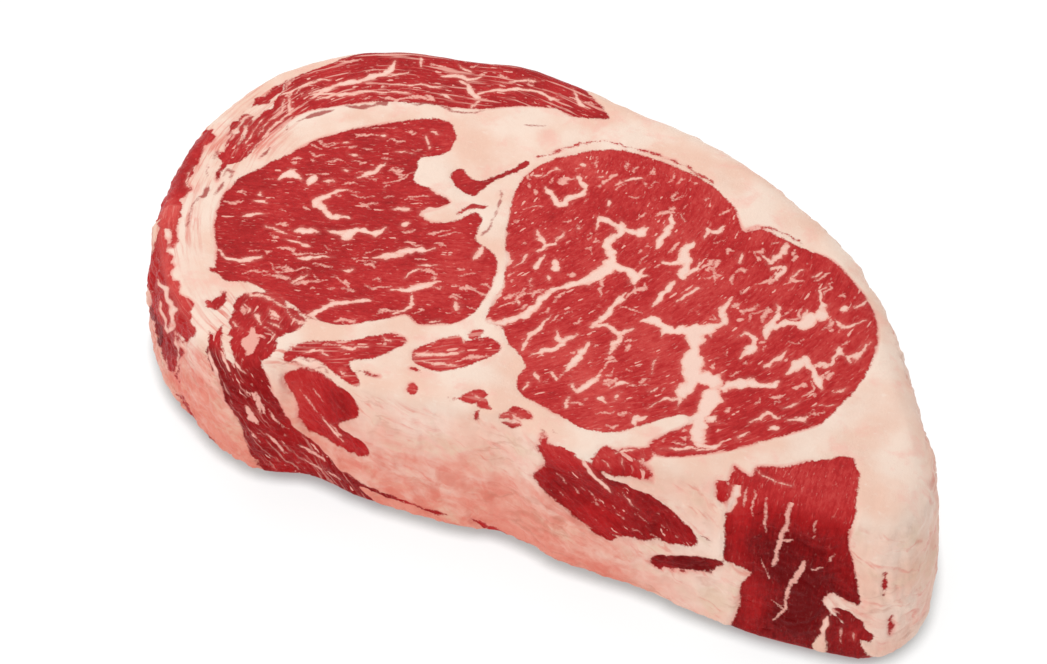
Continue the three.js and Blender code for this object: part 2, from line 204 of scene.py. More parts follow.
def rib_hollow(x, y, z):
    """Depth of the hollows that the ribs left in the long side."""
    depth = np.zeros_like(x)
    for cx, width, cz, height, deep in RIB_HOLLOWS:
        depth += deep * np.exp(-(((x - cx) / width) ** 2) - ((z - cz) / height) ** 2)
    return np.where(y > 0, 0, depth)


# %% The wall, ring by ring
SPAN_STEPS = 9
EVERY_THIRD = SPAN_STEPS // 3
ROUND_STEPS = 6
FLOOR_STEPS = 24
WALL_STEPS = 22
TOP_STEPS = 40
rim = smooth_path(RIM, SPAN_STEPS)
rim_normal = outward(rim, 4 * EVERY_THIRD**2)
rim_angle = np.degrees(np.arctan2(rim[:, 1], rim[:, 0]))
rim_flare = bells(rim_angle, FLARE_BASE, FLARES)
rim_belly = bells(rim_angle, BELLY_BASE, BELLIES)
rim_edge = bells(rim_angle, EDGE_BASE, EDGES)


def wall_ring(height, extra):
    """The ring of the wall at a height, moved outwards by `extra`."""
    share = height / THICKNESS
    out = rim_flare * (1 - share) + rim_belly * 4 * share * (1 - share) + extra
    out = out - rib_hollow(rim[:, 0], rim[:, 1], np.broadcast_to(height, out.shape))
    return np.column_stack([rim + rim_normal * out[:, None], np.broadcast_to(height, out.shape)])


def form_rings():
    """All rings of the form: floor, rounded foot, wall, rounded edge and upper face."""
    turns = np.linspace(0, math.pi / 2, ROUND_STEPS)
    rings = []
    for share in np.linspace(0.04, 1, FLOOR_STEPS)[:-1]:
        ring = wall_ring(np.zeros(len(rim)), -FOOT_RADIUS)
        rings.append(ring * [share, share, 1])
    for turn in turns:
        height = FOOT_RADIUS * (1 - math.cos(turn))
        rings.append(wall_ring(height, -FOOT_RADIUS * (1 - math.sin(turn))))
    for height in np.linspace(FOOT_RADIUS, THICKNESS - rim_edge.max(), WALL_STEPS)[1:-1]:
        rings.append(wall_ring(height, 0))
    for turn in turns:
        height = THICKNESS - rim_edge * (1 - math.sin(turn))
        rings.append(wall_ring(height, -rim_edge * (1 - math.cos(turn))))
    edge = rings.pop()
    for share in np.linspace(1, 0.02, TOP_STEPS):
        x, y = edge[:, 0] * share, edge[:, 1] * share
        rings.append(np.column_stack([x, y, top_height(x, y)]))
    return rings


rings = form_rings()
everything = np.vstack(rings)
MIDDLE = (everything[:, :2].min(0) + everything[:, :2].max(0)) / 2
print("rings:", len(rings), "points:", len(everything), "middle, mm:", MIDDLE.round(3))


# %% One closed mesh from the rings
def mesh_from(name, vertices, faces):
    mesh = bpy.data.meshes.new(name)
    mesh.from_pydata([tuple(v) for v in vertices], [], faces)
    mesh.validate()
    return mesh


def object_from(name, mesh):
    thing = bpy.data.objects.new(name, mesh)
    bpy.context.scene.collection.objects.link(thing)
    return thing


def ring_faces(count, size):
    """Quads between `count` rings of `size` points, with a cap at each end."""
    faces = []
    for level in range(count - 1):
        low, high = level * size, (level + 1) * size
        faces += [(low + i, low + (i + 1) % size, high + (i + 1) % size, high + i) for i in range(size)]
    faces.append(tuple(range(size))[::-1])
    faces.append(tuple((count - 1) * size + i for i in range(size)))
    return faces


form = object_from("form", mesh_from("form", everything, ring_faces(len(rings), len(rim))))
print("form faces:", len(form.data.polygons))

# %% [markdown]
# ## Where the lean is
# Most muscles are outlines on the upper face that run down into the steak, and drift and shrink on
# their way. Those that show on the long side or the left end alone are outlines on that side. A
# signed distance to these outlines, positive in the lean, drives the relief and the colours alike.

# %% Outlines of the muscles on the upper face
EYE = [
    (-16.5, 24), (-13.5, 29), (-9, 33), (-4, 37), (2, 39.2), (8, 39.9), (15, 39.2), (22, 37.6),
    (29, 35), (34.5, 32), (38.5, 28), (41, 23.5), (43.5, 20.8), (47, 22.8), (53, 22), (60, 20.3),
    (67, 18.7), (73, 14.5), (78, 10), (81.8, 4), (84, -4), (84.3, -12), (83, -20), (80.5, -27),
    (77.5, -34), (72, -39.5), (65, -45), (57, -51), (50, -54.8), (44, -56.6), (41.5, -53.8),
    (45, -49.2), (48, -45.5), (46.3, -42.8), (42, -46), (37, -50.2), (32, -54), (26, -55.2),
    (20, -53.5), (14, -51.8), (8, -50), (5, -46), (5.5, -41), (3, -38), (-1, -35.5), (-4, -31.5),
    (-8.5, -31), (-9, -24), (-9, -16), (-12, -7), (-14.5, 0), (-16.5, 8), (-17.5, 16),
]
LARGE_LEFT = [
    (-88, -15), (-85.5, -24), (-81.5, -30.5), (-78.5, -37.5), (-74, -40.3), (-69, -39),
    (-62, -40.2), (-56, -42), (-51, -44.3), (-46, -45), (-39, -43.5), (-33, -39.5),
    (-27.5, -35.2), (-23.5, -37), (-19, -35.6), (-14.5, -33.8), (-11.6, -29), (-11, -22),
    (-11.2, -15), (-13, -9.5), (-16.5, -7.5), (-20.5, -5), (-21, 1), (-23.5, 4), (-28, -1),
    (-33.5, -3.8), (-37, -1.8), (-34, 1), (-31.5, 5), (-37, 7.5), (-43, 8.8), (-44, 13),
    (-45, 18.3), (-41, 20.8), (-38.7, 25), (-39.5, 30.5), (-43.5, 34.5), (-49.5, 33.8),
    (-56, 30), (-63, 24.5), (-70, 19.3), (-75, 14), (-79, 7), (-83.5, 0.5), (-87.3, -6),
]
OUTER_BAND = [
    (-3, 50.3), (-7, 54.5), (-12, 58.5), (-20, 69), (-45, 71), (-70, 66), (-77.5, 53),
    (-84, 44.5), (-90, 36), (-94.5, 27), (-97, 17), (-98.3, 8), (-97.3, 2), (-94.8, -1),
    (-91.8, -2), (-89, 1), (-87.5, 8), (-85, 17), (-82, 24.5), (-76, 28.3), (-69, 32.5),
    (-61, 36), (-52, 38.5), (-44, 40), (-37, 42), (-31, 45), (-25, 48), (-18, 49.3),
    (-13, 47.5), (-8, 48.5),
]
COMMA = [
    (-33.5, 18.2), (-35.2, 15.5), (-33.5, 12), (-30, 10), (-26.8, 9.8), (-25.4, 12.5),
    (-24.4, 16), (-21.5, 19.8), (-18.6, 23.5), (-17.6, 27), (-19.4, 26.3), (-22.3, 21.6),
    (-25.4, 17.4), (-29, 15.4),
]
RIB_LEFT = [
    (-24, -43.5), (-27.5, -42), (-31.5, -43.6), (-36, -47), (-41, -49.3), (-46, -51.2),
    (-49.8, -54), (-50.6, -58), (-49, -59.6), (-47, -57), (-42, -56.2), (-37.5, -58.3),
    (-33, -60.6), (-29.8, -60.6), (-30.4, -58.3), (-33.8, -55.5), (-33.5, -53), (-30, -51.8),
    (-27, -48),
]
RIB_MIDDLE = [
    (-21.5, -45), (-20.5, -48), (-18, -49.5), (-13, -49.6), (-8, -46.5), (-4.5, -42.5),
    (-1.8, -38.5), (-2.6, -36.4), (-6, -35.4), (-10.5, -38), (-13, -37), (-18, -40.7),
]
CHAIN = [
    (-69.5, -44), (-68, -51), (-70, -58), (-71, -68), (-57, -68), (-56, -59), (-53.8, -53.5),
    (-52.8, -49), (-57, -45.5), (-63, -42.8),
]
RIB_EDGE = [
    (31, -58.7), (30.6, -66), (43, -66), (44.2, -61), (43, -59.4), (39, -58.6), (35, -58.2),
]
CORNER_PLAN = [
    (60, -54.6), (60, -80), (112, -80), (112, -56), (98, -55.5), (91.5, -56), (90.4, -52.5),
    (89.6, -47), (87.4, -42.4), (85, -41.6), (79, -45), (72, -49.8), (66.8, -51.6), (65.8, -54.6),
]

# %% Outlines of the muscles that show on the long side and the left end
SIDE_OVAL = [
    (-50, 42), (-48.7, 38), (-46.7, 33), (-47.2, 28.5), (-46, 24.8), (-42, 22.8), (-36.5, 22),
    (-31.5, 20.6), (-28.3, 22.8), (-29, 26.5), (-32.5, 29), (-35.5, 30), (-35, 32.2),
    (-30.8, 35.5), (-30.2, 40), (-32.5, 44), (-37, 46.2), (-42.5, 46.6), (-47.3, 45.2),
]
SIDE_DIAMOND = [
    (15.5, 44.5), (18, 41.5), (17.5, 38), (15.5, 34), (15, 31), (20, 27.5), (26, 23), (31, 19.8),
    (36, 20), (42, 21.2), (48, 23.3), (54, 24.3), (57, 27), (55, 30), (50, 34), (44, 37.5),
    (38, 39.8), (33, 42), (31, 45.5), (25, 46.5), (19, 46.8),
]
SIDE_SLIT = [
    (45.3, 15), (47.5, 13.8), (50, 15.8), (54, 17.2), (58.5, 17.8), (61, 20), (61.5, 22),
    (58, 22.2), (53, 20.8), (49, 18.7),
]
CORNER_FACE = [
    (62.3, 60), (62.3, 44), (62.5, 36), (63.5, 29), (63.5, 25), (68, 24.2), (70.5, 22.5),
    (68.8, 18), (69, 10), (68.7, -5), (87.5, -5), (88, 4), (90, 9.5), (91.5, 4), (93, -5),
    (106, -5), (101.5, 3), (98, 9.5), (94.5, 14.5), (90.5, 17.5), (88.3, 21), (90.5, 24),
    (96.5, 22.3), (95.5, 28), (93, 35), (90.8, 42), (90, 60),
]
END_STRIP = [
    (-24, 49), (-46, 49), (-51, 44), (-50, 38), (-43, 33), (-36, 31), (-30, 25), (-26, 16),
    (-24, 6), (-25, -4), (-8, -4), (-8.5, 6), (-10.5, 18), (-13.5, 28), (-17, 32.5), (-24, 34),
    (-30, 38), (-31, 44),
]

# %% How each muscle runs through the steak
BEYOND = 12
EVEN = (1, 1)
OUTLINE_STEPS = 3


def running(floor, drift, stretch=EVEN):
    """Levels of a muscle that drifts evenly: its height, drift and stretch at each level."""
    climb = BEYOND / (THICKNESS - floor)
    above = (-drift[0] * climb, -drift[1] * climb)
    return [(floor, drift, stretch), (THICKNESS + BEYOND, above, EVEN)]


CHAIN_RUN = [
    (-BEYOND, (30, 0), (3, 0.95)), (0, (23, 0), (2.3, 0.95)), (24, (7, 0), (1, 0.98)),
    (THICKNESS + BEYOND, (-3, 0), EVEN),
]
THROUGH = {
    "eye_muscle": (EYE, running(-BEYOND, (3, -1), (0.96, 0.95))),
    "large_left_muscle": (LARGE_LEFT, running(-BEYOND, (-1, -1.5), (0.95, 0.94))),
    "outer_band_muscle": (OUTER_BAND, running(-BEYOND, (0, -5), (1, 0.94))),
    "comma_muscle": (COMMA, running(12, (-2, 3))),
    "rib_left_muscle": (RIB_LEFT, running(41, (0, 6))),
    "rib_middle_muscle": (RIB_MIDDLE, running(22, (0, 1))),
    "rib_edge_muscle": (RIB_EDGE, running(43, (0, 0))),
    "chain_muscle": (CHAIN, CHAIN_RUN),
    "corner_muscle": (CORNER_PLAN, running(-BEYOND, (0, 0))),
}
POCKETS = {
    "side_oval_muscle": (SIDE_OVAL, 7),
    "side_diamond_muscle": (SIDE_DIAMOND, 9),
    "side_slit_muscle": (SIDE_SLIT, 4),
    "end_strip_muscle": (END_STRIP, 5),
}


# %% Distance maps on a plane
class DistanceMap:
    """Distances in millimetres on a plane grid, read back between its points."""

    def __init__(self, low, high, step, empty):
        self.low, self.step = np.asarray(low, float), step
        size = np.ceil((np.asarray(high, float) - self.low) / step).astype(int) + 2
        self.grid = np.full(size, empty, float)

    def corners(self):
        i, j = np.indices(self.grid.shape)
        return self.low[0] + i * self.step, self.low[1] + j * self.step

    def read(self, x, y):
        u = np.clip((x - self.low[0]) / self.step, 0, self.grid.shape[0] - 1.001)
        v = np.clip((y - self.low[1]) / self.step, 0, self.grid.shape[1] - 1.001)
        i, j = u.astype(int), v.astype(int)
        u, v, g = u - i, v - j, self.grid
        return ((g[i, j] * (1 - v) + g[i, j + 1] * v) * (1 - u)
                + (g[i + 1, j] * (1 - v) + g[i + 1, j + 1] * v) * u)


def to_segment(x, y, a, b):
    """Distance to the segment a-b, and how far along it the nearest point lies."""
    run = b - a
    along = np.clip(((x - a[0]) * run[0] + (y - a[1]) * run[1]) / max(run @ run, 1e-9), 0, 1)
    return np.hypot(x - a[0] - along * run[0], y - a[1] - along * run[1]), along


def outline_map(points, step=0.5, margin=9):
    """Signed distance to a closed outline, positive inside."""
    curve = smooth_path(points, OUTLINE_STEPS)
    found = DistanceMap(curve.min(0) - margin, curve.max(0) + margin, step, margin)
    x, y = found.corners()
    inside = np.zeros(x.shape, bool)
    for a, b in zip(curve, np.roll(curve, -1, 0)):
        found.grid = np.minimum(found.grid, to_segment(x, y, a, b)[0])
        if a[1] != b[1]:
            crosses = (a[1] > y) != (b[1] > y)
            inside ^= crosses & (x < a[0] + (y - a[1]) * (b[0] - a[0]) / (b[1] - a[1]))
    found.grid = np.where(inside, found.grid, -found.grid)
    return found


outline_maps = {name: outline_map(points) for name, (points, _) in {**THROUGH, **POCKETS}.items()}
corner_face_map = outline_map(CORNER_FACE)
print("outline maps:", len(outline_maps) + 1)


# %% The lean of a point in space
LEFT_END_FROM = -70
LONG_SIDE_FROM = -45
STRIP_TOP_DEPTH = 1.2
STRIP_SLOPE = 0.5


def back_to_top(name, x, y, z):
    """Follows a muscle up to the upper face: where the point at this height comes from."""
    points, levels = THROUGH[name]
    heights = [level[0] for level in levels]
    drift = [np.interp(z, heights, [level[1][k] for level in levels]) for k in (0, 1)]
    stretch = [np.interp(z, heights, [level[2][k] for level in levels]) for k in (0, 1)]
    middle = np.mean(smooth_path(points, OUTLINE_STEPS), axis=0)
    return [middle[k] + (p - middle[k] - drift[k]) / stretch[k] for k, p in enumerate((x, y))]


def lean_of(x, y, z, inward):
    """Signed distance to the lean of each muscle. `inward` is how far a point is inside the rim."""
    rows = {}
    for name, (_, levels) in THROUGH.items():
        u, v = back_to_top(name, x, y, z)
        value = outline_maps[name].read(u, v)
        if levels[0][0] > 0:
            value = np.minimum(value, z - levels[0][0])
        if name == "corner_muscle":
            value = np.minimum(value, corner_face_map.read(x, z))
        rows[name] = value
    for name, (_, depth) in POCKETS.items():
        left = name == "end_strip_muscle"
        value = np.minimum(outline_maps[name].read(y if left else x, z), depth - inward)
        if left:
            value = np.minimum(value, STRIP_TOP_DEPTH - inward + STRIP_SLOPE * (THICKNESS - z))
        near = x < LEFT_END_FROM if left else y < LONG_SIDE_FROM
        rows[name] = np.where(near, value, -float(depth))
    return rows


# %% Smooth random values over the plane
def unrest(spread, seed):
    """A map of random values from -1 to 1 that change over `spread` millimetres."""
    values = DistanceMap((-130, -90), (130, 90), spread, 0)
    values.grid = np.random.default_rng(seed).uniform(-1, 1, values.grid.shape)
    return values


FAR_WANDER = 2.6
far_unrest = unrest(6.5, 25)
WARPS = [(1.0, unrest(4.5, 21), unrest(4.5, 22)), (0.45, unrest(1.6, 23), unrest(1.6, 24))]


def warped(x, y, share=1.0):
    """The same place moved by up to about two millimetres, so that drawn strokes lose their ease."""
    u, v = x.copy(), y.copy()
    for size, along_x, along_y in WARPS:
        u += share * size * along_x.read(x, y)
        v += share * size * along_y.read(x, y)
    return u, v


# %% [markdown]
# ## Marbling that has to be where it is
# Thick seams of fat between the bundles are what the eye remembers of a steak, so they are drawn as
# strokes: a width, then the points it runs through. Finer flecks follow a rule further down.

# %% Seams of fat in the eye muscle: width, then x, y, x, y ...
EYE_SEAMS = [
    (2.0, 12.3, 14, 13, 10, 11.8, 6, 13.5, 2), (3.0, 13.5, 2, 13.7, -3, 12.5, -7),
    (2.4, 12.5, -7, 10, -10.5, 7, -13), (1.7, 7, -13, 4.5, -15.5, 3, -19, 1.5, -22.5),
    (2.0, 1.5, -22.5, -0.5, -25.5, -3, -28, -4.5, -29.5), (1.8, -4.5, -29.5, -8.5, -31, -13, -36),
    (1.5, 7, 12.5, 12, 12, 16, 11, 19.5, 12.5), (2.4, 17.5, 11.2, 18.5, 10.8), (1.0, 6.8, 12, 7, 8),
    (2.6, 14, -3, 19, -3.5, 22.5, -5), (2.6, 22, -4.5, 21.7, -7.5), (1.4, 22.5, -4, 23, -1),
    (1.4, 23, -4, 25, -3.5), (3.0, 27.5, -17.6, 30, -16.9, 34, -18.7, 38, -17.6, 42, -16.6, 44, -15.8),
    (2.0, 44, -16, 46.4, -12.6, 46.4, -9), (1.3, 46.4, -11, 45.6, -7.5, 46.8, -4),
    (1.6, 34, -18.5, 34.2, -21.5), (3.0, 41.5, -17, 42.4, -22, 43.4, -27),
    (4.2, 43.4, -26, 44.6, -31.5), (2.6, 44.6, -32, 44.2, -37), (1.0, 44.2, -37, 43.8, -42),
    (3.4, 45, -30.6, 50, -30.6), (4.0, 50.8, -32.6, 50.6, -36, 50.2, -40),
    (2.6, 52, -32, 56, -29.6, 58.5, -27.6), (2.2, 58, -28, 61, -27.4, 63.8, -26),
    (1.8, 63.6, -26, 64.2, -24.6), (2.8, 50.2, -40, 50.6, -44, 51.4, -48),
    (1.8, 51.4, -48, 52.4, -50.2, 55, -49.6, 57.2, -47.4), (1.6, 51.6, -41.4, 54.6, -42),
    (2.6, 50, -41, 46.6, -44.6, 42, -48.6), (3.2, 42, -48.6, 38, -52.6, 34, -55.6),
    (1.2, 51, -28, 50.6, -30), (0.8, 44, -39, 40, -41, 38, -43.8),
    (1.2, 37, -50.4, 35.4, -47.6, 36.2, -46.2), (1.8, 17, -24, 18.5, -20, 19.6, -16, 20.8, -11),
    (1.3, 18, -22.8, 21, -22.5, 24.2, -24.4), (1.2, 24.2, -24, 24.3, -30.6),
    (1.0, 24.5, -24, 26.5, -20.5), (1.5, 28.4, -12.6, 30, -9, 31.5, -5.4, 32.3, -3),
    (1.3, 35, -9.4, 36.5, -6.5, 38.6, -2.8), (2.4, 26.6, 3, 29, 3, 30.8, 5),
    (2.2, 31, 4.5, 31.6, 9, 31.4, 13), (2.4, 31.6, 6, 33, 2, 33.8, -0.4),
    (1.2, 34.6, 0.6, 35.6, 3.4, 36, 6), (1.6, 22.5, 20, 24, 17, 25, 13, 24, 10, 23.5, 7),
    (1.2, 34, 18.5, 36, 18, 38, 21.5), (1.2, 34.5, 18, 34.2, 14.5), (1.1, 26, 22, 28, 18.5),
    (1.3, 54, 21.5, 55, 18, 53, 15, 52, 12.5), (1.1, 49, 15, 52, 12.8),
    (1.4, 53, 10.5, 55.5, 12, 55.5, 7), (1.0, 44.5, 12, 44.5, 9), (1.1, 60.5, 13, 59, 9.5, 58.5, 7.5),
    (1.0, 63, 12, 65, 13.5), (1.3, 67, 10, 66.8, 7.5, 69, 3, 70, -1), (2.0, 70, -1, 68, -3, 66, -5),
    (2.8, 66.4, -3.6, 65.6, -5.6), (2.0, 66, -5, 62, -6, 60, -8.5, 57.8, -9.6),
    (2.6, 58, -9, 57.4, -11.5, 57.6, -13), (1.8, 58, -1, 58, -5, 57.5, -9), (1.0, 65, -1, 65, -4),
    (1.0, 51, -15, 52.5, -12.8, 54.5, -13.2), (1.3, 54.5, -13.5, 55.5, -16),
    (2.2, 55.6, -17, 55.2, -19.6), (1.2, 55.2, -19, 54.2, -21.4),
    (1.1, 60.3, -22.4, 61.5, -19.5, 63.4, -14.6), (2.2, 65.6, -21.8, 67, -19.5, 69, -16.4),
    (2.2, 69, -16.6, 71, -18.4, 73.4, -20.8, 75, -23.6),
    (1.4, 72, -17.5, 73.5, -16, 75.5, -15.5, 76.6, -11),
    (1.0, 76.8, -11, 78.5, -12.5, 80.5, -11, 82, -8, 83, -6),
    (0.9, 73.5, -0.5, 75.5, -3, 77.5, -0.5, 79.5, 1.5), (0.9, 77.5, 9.5, 75, 5),
    (2.0, 73.4, 3.4, 73.9, 4.1), (0.9, 78, -23.5, 80, -21.5), (0.9, 76, -29, 80, -27),
    (0.9, 61, -40, 63, -38.5, 65, -36, 68, -36.5), (1.1, 70, -36.5, 73.5, -35, 74, -33.5),
    (0.9, 68, -32.5, 71, -29.5), (2.4, 66.6, -40.2, 67.4, -39.6), (1.0, 60, -45.5, 61.5, -43),
]
EYE_LEFT_SEAMS = [
    (1.1, -6.4, 2.6, -5, 1, -3.6, -0.6), (2.0, -2.4, -5.2, -2.7, -8.6), (1.7, 1.2, -6, 1.9, -8.2),
    (1.0, -2.4, -14.2, -1.2, -17.2), (1.6, 1.2, -12, 1.8, -13), (1.2, -3.6, -20.8, -2.8, -21.8),
    (1.6, 8.4, -42, 9.6, -44.4), (1.2, 7.4, -45, 7.2, -47.6), (1.4, 12.6, -40.6, 14, -43),
    (1.5, 17.5, -28.5, 17, -32), (2.0, 17, -32, 16.5, -36, 15.5, -39),
    (1.5, 18, -43, 20, -44, 23, -40, 23.5, -38), (1.5, 26.5, -41.5, 29, -39.5, 32, -38),
    (1.1, 36, -39, 37.5, -37), (1.0, 35.5, -29, 35, -33), (1.8, 26, -45, 28, -45.6),
    (1.4, 29.6, -42.6, 30, -44), (1.2, 36, -47.5, 38, -46), (1.0, 19, -46, 19.5, -50),
    (1.1, 9, -27, 11, -30, 14, -27), (1.5, 11.5, -31, 9, -34.5, 6, -37),
    (1.3, 3, -37, 3.2, -33, 4.5, -29, 5.3, -24),
    (1.5, -4.5, 26, -2.5, 24, -1.2, 21, -2.5, 18, -3.5, 15.5),
    (1.7, -3.5, 15.5, -5.5, 14, -7, 16, -10.5, 20), (1.0, -11, 27, -9, 26), (1.0, -15, 22.5, -12.5, 24),
    (1.5, -4.4, 30.4, -3.6, 30.8), (1.1, 1.2, 27.4, 2, 27.8), (1.2, 8.5, 27, 10, 30, 12.5, 30.5),
    (1.4, 7, 20, 8, 18), (1.1, -1, 5, -1.5, 1.5, -3.5, -1, -4.5, -5), (1.0, -6.5, -6.5, -8.2, -10.5),
    (1.0, -2.8, -6.6, -2.2, -7.6), (1.0, 1.1, -6.6, 1.6, -7.6), (1.0, 2, 8.4, 2.4, 7.4),
    (1.6, -17.3, -7, -17.9, -13), (3.4, -18, 9, -17, 3, -15.3, -4),
    (2.2, -15.3, -4, -12.6, -7, -10.8, -11),
    (1.3, -10.8, -10, -10, -14, -9.4, -20, -10, -27, -11.5, -32, -13.5, -35.5),
]

# %% Seams of fat in the large left muscle and the outer band
LEFT_SEAMS = [
    (2.4, -77, -2, -75.5, 1, -72, -0.5), (2.6, -75.4, 2.4, -74.6, -0.6), (2.4, -69, 2, -69.2, -3),
    (1.7, -66, 0.5, -63, 2), (1.7, -65, -7.5, -63, -5.5, -61, -2, -58, -0.6),
    (1.7, -65, -8, -62, -9, -58, -10, -54, -9.5), (1.3, -80.2, -7.8, -79.6, -9),
    (1.3, -80, -11.5, -76.5, -11.5, -75.6, -12.2), (1.2, -80, -18, -77, -17.2, -74, -16),
    (1.7, -65, -18.8, -62, -17.3, -58.5, -17.5), (1.5, -57, -16, -52, -15.3, -50, -13.5),
    (2.0, -52.4, -15.8, -50.2, -13.8), (1.7, -50, -13.5, -46, -12, -43.5, -9),
    (1.8, -44, -2.5, -40, -1.6), (2.0, -39.8, -6.6, -39, -6.3),
    (1.3, -42, -20.5, -39, -19.5, -37, -17.5), (1.4, -37, -17.5, -35, -15, -29, -12),
    (1.0, -31, -19, -26, -17.5), (1.0, -32, -24, -30, -20),
    (1.6, -34, -29, -32, -28, -26, -25, -23.5, -22.5), (0.9, -29, -28, -28.3, -31, -29, -34, -31, -37),
    (1.0, -17, -26.5, -15.5, -30), (1.0, -20.5, -35.5, -18, -34),
    (1.4, -60, -27, -57.6, -26.4, -55, -24.6, -52.5, -23.8), (1.0, -66, -22.5, -60, -22.5),
    (0.9, -73, -20.5, -66, -20.5), (1.0, -48, -27.5, -45.5, -26), (1.0, -59, -34.5, -56.5, -32),
    (1.4, -49.8, -44, -48, -40, -45, -37.5, -41, -35.8, -37, -34.5),
    (0.9, -49.5, -44.7, -45, -45.3, -40, -45.2), (1.4, -81, -31, -77, -33, -73, -32, -69, -30),
    (1.1, -67, -41, -60, -41, -55, -43.5), (1.2, -55, -43.5, -52, -46.6, -50.5, -49),
    (1.2, -69.5, -39, -66.5, -40), (1.1, -46, 30, -43.5, 29), (1.1, -46.5, 28, -44.5, 22),
    (2.0, -57.4, 22, -56.6, 22.2), (1.4, -66.4, 17, -65.6, 17), (1.1, -52, 18, -48, 19),
    (1.0, -62.5, 12.5, -61, 12.7), (1.2, -52.5, 13.5, -54, 9.5, -57.5, 5),
    (1.1, -62.4, 6.4, -61.4, 6.7), (3.4, -37, -2.4, -31, 2, -25, 6.4),
    (1.5, -25, 7, -30, 7.6, -38, 8.2),
]
BAND_SEAMS = [
    (1.8, -82, 30, -78, 37, -73, 41), (1.9, -73, 41, -69, 44.5, -67, 48, -67.5, 52),
    (1.2, -66, 46, -61, 49), (1.2, -60, 56, -58, 52), (1.0, -75, 34, -68, 38, -57, 41),
    (1.0, -50, 58, -44, 56), (1.4, -52, 51, -42, 54), (2.0, -46, 51, -44, 50, -41, 47, -39, 46),
    (1.1, -41, 47, -37, 50, -33, 52, -24, 54), (1.1, -24, 54, -20, 52.5, -18, 53.5),
    (1.0, -34, 55.5, -27, 58.5), (1.1, -50, 43, -45.5, 42), (1.0, -40, 41.5, -39, 44.5),
    (1.0, -16, 58, -12, 53, -9, 52), (0.6, -88, 30, -86, 22, -87, 12, -89, 4),
    (0.6, -93, 24, -94, 14, -93, 5), (0.9, -90, 28, -84, 37, -80, 40),
    (1.0, -84, 31, -78.6, 33.6, -72, 35.4), (0.9, -64, 42, -56, 45.4, -49, 46.4),
]

# %% Marks that lie over the muscles and the fat of the upper face and its rounded edge
VEINS = [
    (1.6, -81.6, 21, -79, 24, -75, 28.4), (1.0, -82.8, 18.6, -82.4, 15.2),
    (1.7, -72, 30.6, -69, 31, -66, 32.4), (1.0, -66, 32.4, -62.6, 34.4),
    (1.8, -62.8, 34.6, -62.2, 34.8), (0.8, -57, 37, -50, 39, -42, 39, -36, 41),
    (1.3, -85.6, 3, -84.8, 6, -84, 8.6), (1.2, -91.4, -6, -91.2, -3.8, -89.8, -3.4, -89.4, -5.6),
    (1.0, -90.2, -7, -90.5, -13), (1.5, -94, -10.4, -92.8, -14.6),
    (0.8, -94, -15, -92.4, -23, -91.6, -26), (0.7, -97, -3, -95.8, -6, -94.8, -8.6),
    (0.6, -97.6, 4, -97, -1), (0.9, -24, 40.3, -18.5, 41.3), (0.8, -20.5, 14, -19.5, 8, -19, -3),
    (0.6, -47, -57.6, -42.6, -56.6, -38, -59), (0.7, -50, -62, -48, -59.6, -45, -58.6),
    (0.6, -45, -60.4, -41, -58.4), (0.6, -30, -56.6, -27, -57), (0.5, -8, -56.6, -6.6, -57.2),
    (0.5, 18.8, -57.8, 19.6, -58.6), (0.6, 15, -57, 18, -60.6),
]
FAT_PATCHES = [
    (3.4, -91.6, 32, -93, 27), (4.6, -93, 27, -94.8, 20, -95.6, 14),
    (5.8, -95.6, 14, -96.4, 8, -96.4, 3), (3.4, -52.2, -59, -52.2, -54.6, -50.6, -51),
    (1.2, -23.4, 15.6, -20.6, 19.4, -17.4, 24),
    (1.6, -69.8, -44.6, -69, -50, -67, -55, -63.6, -61, -60, -65),
]
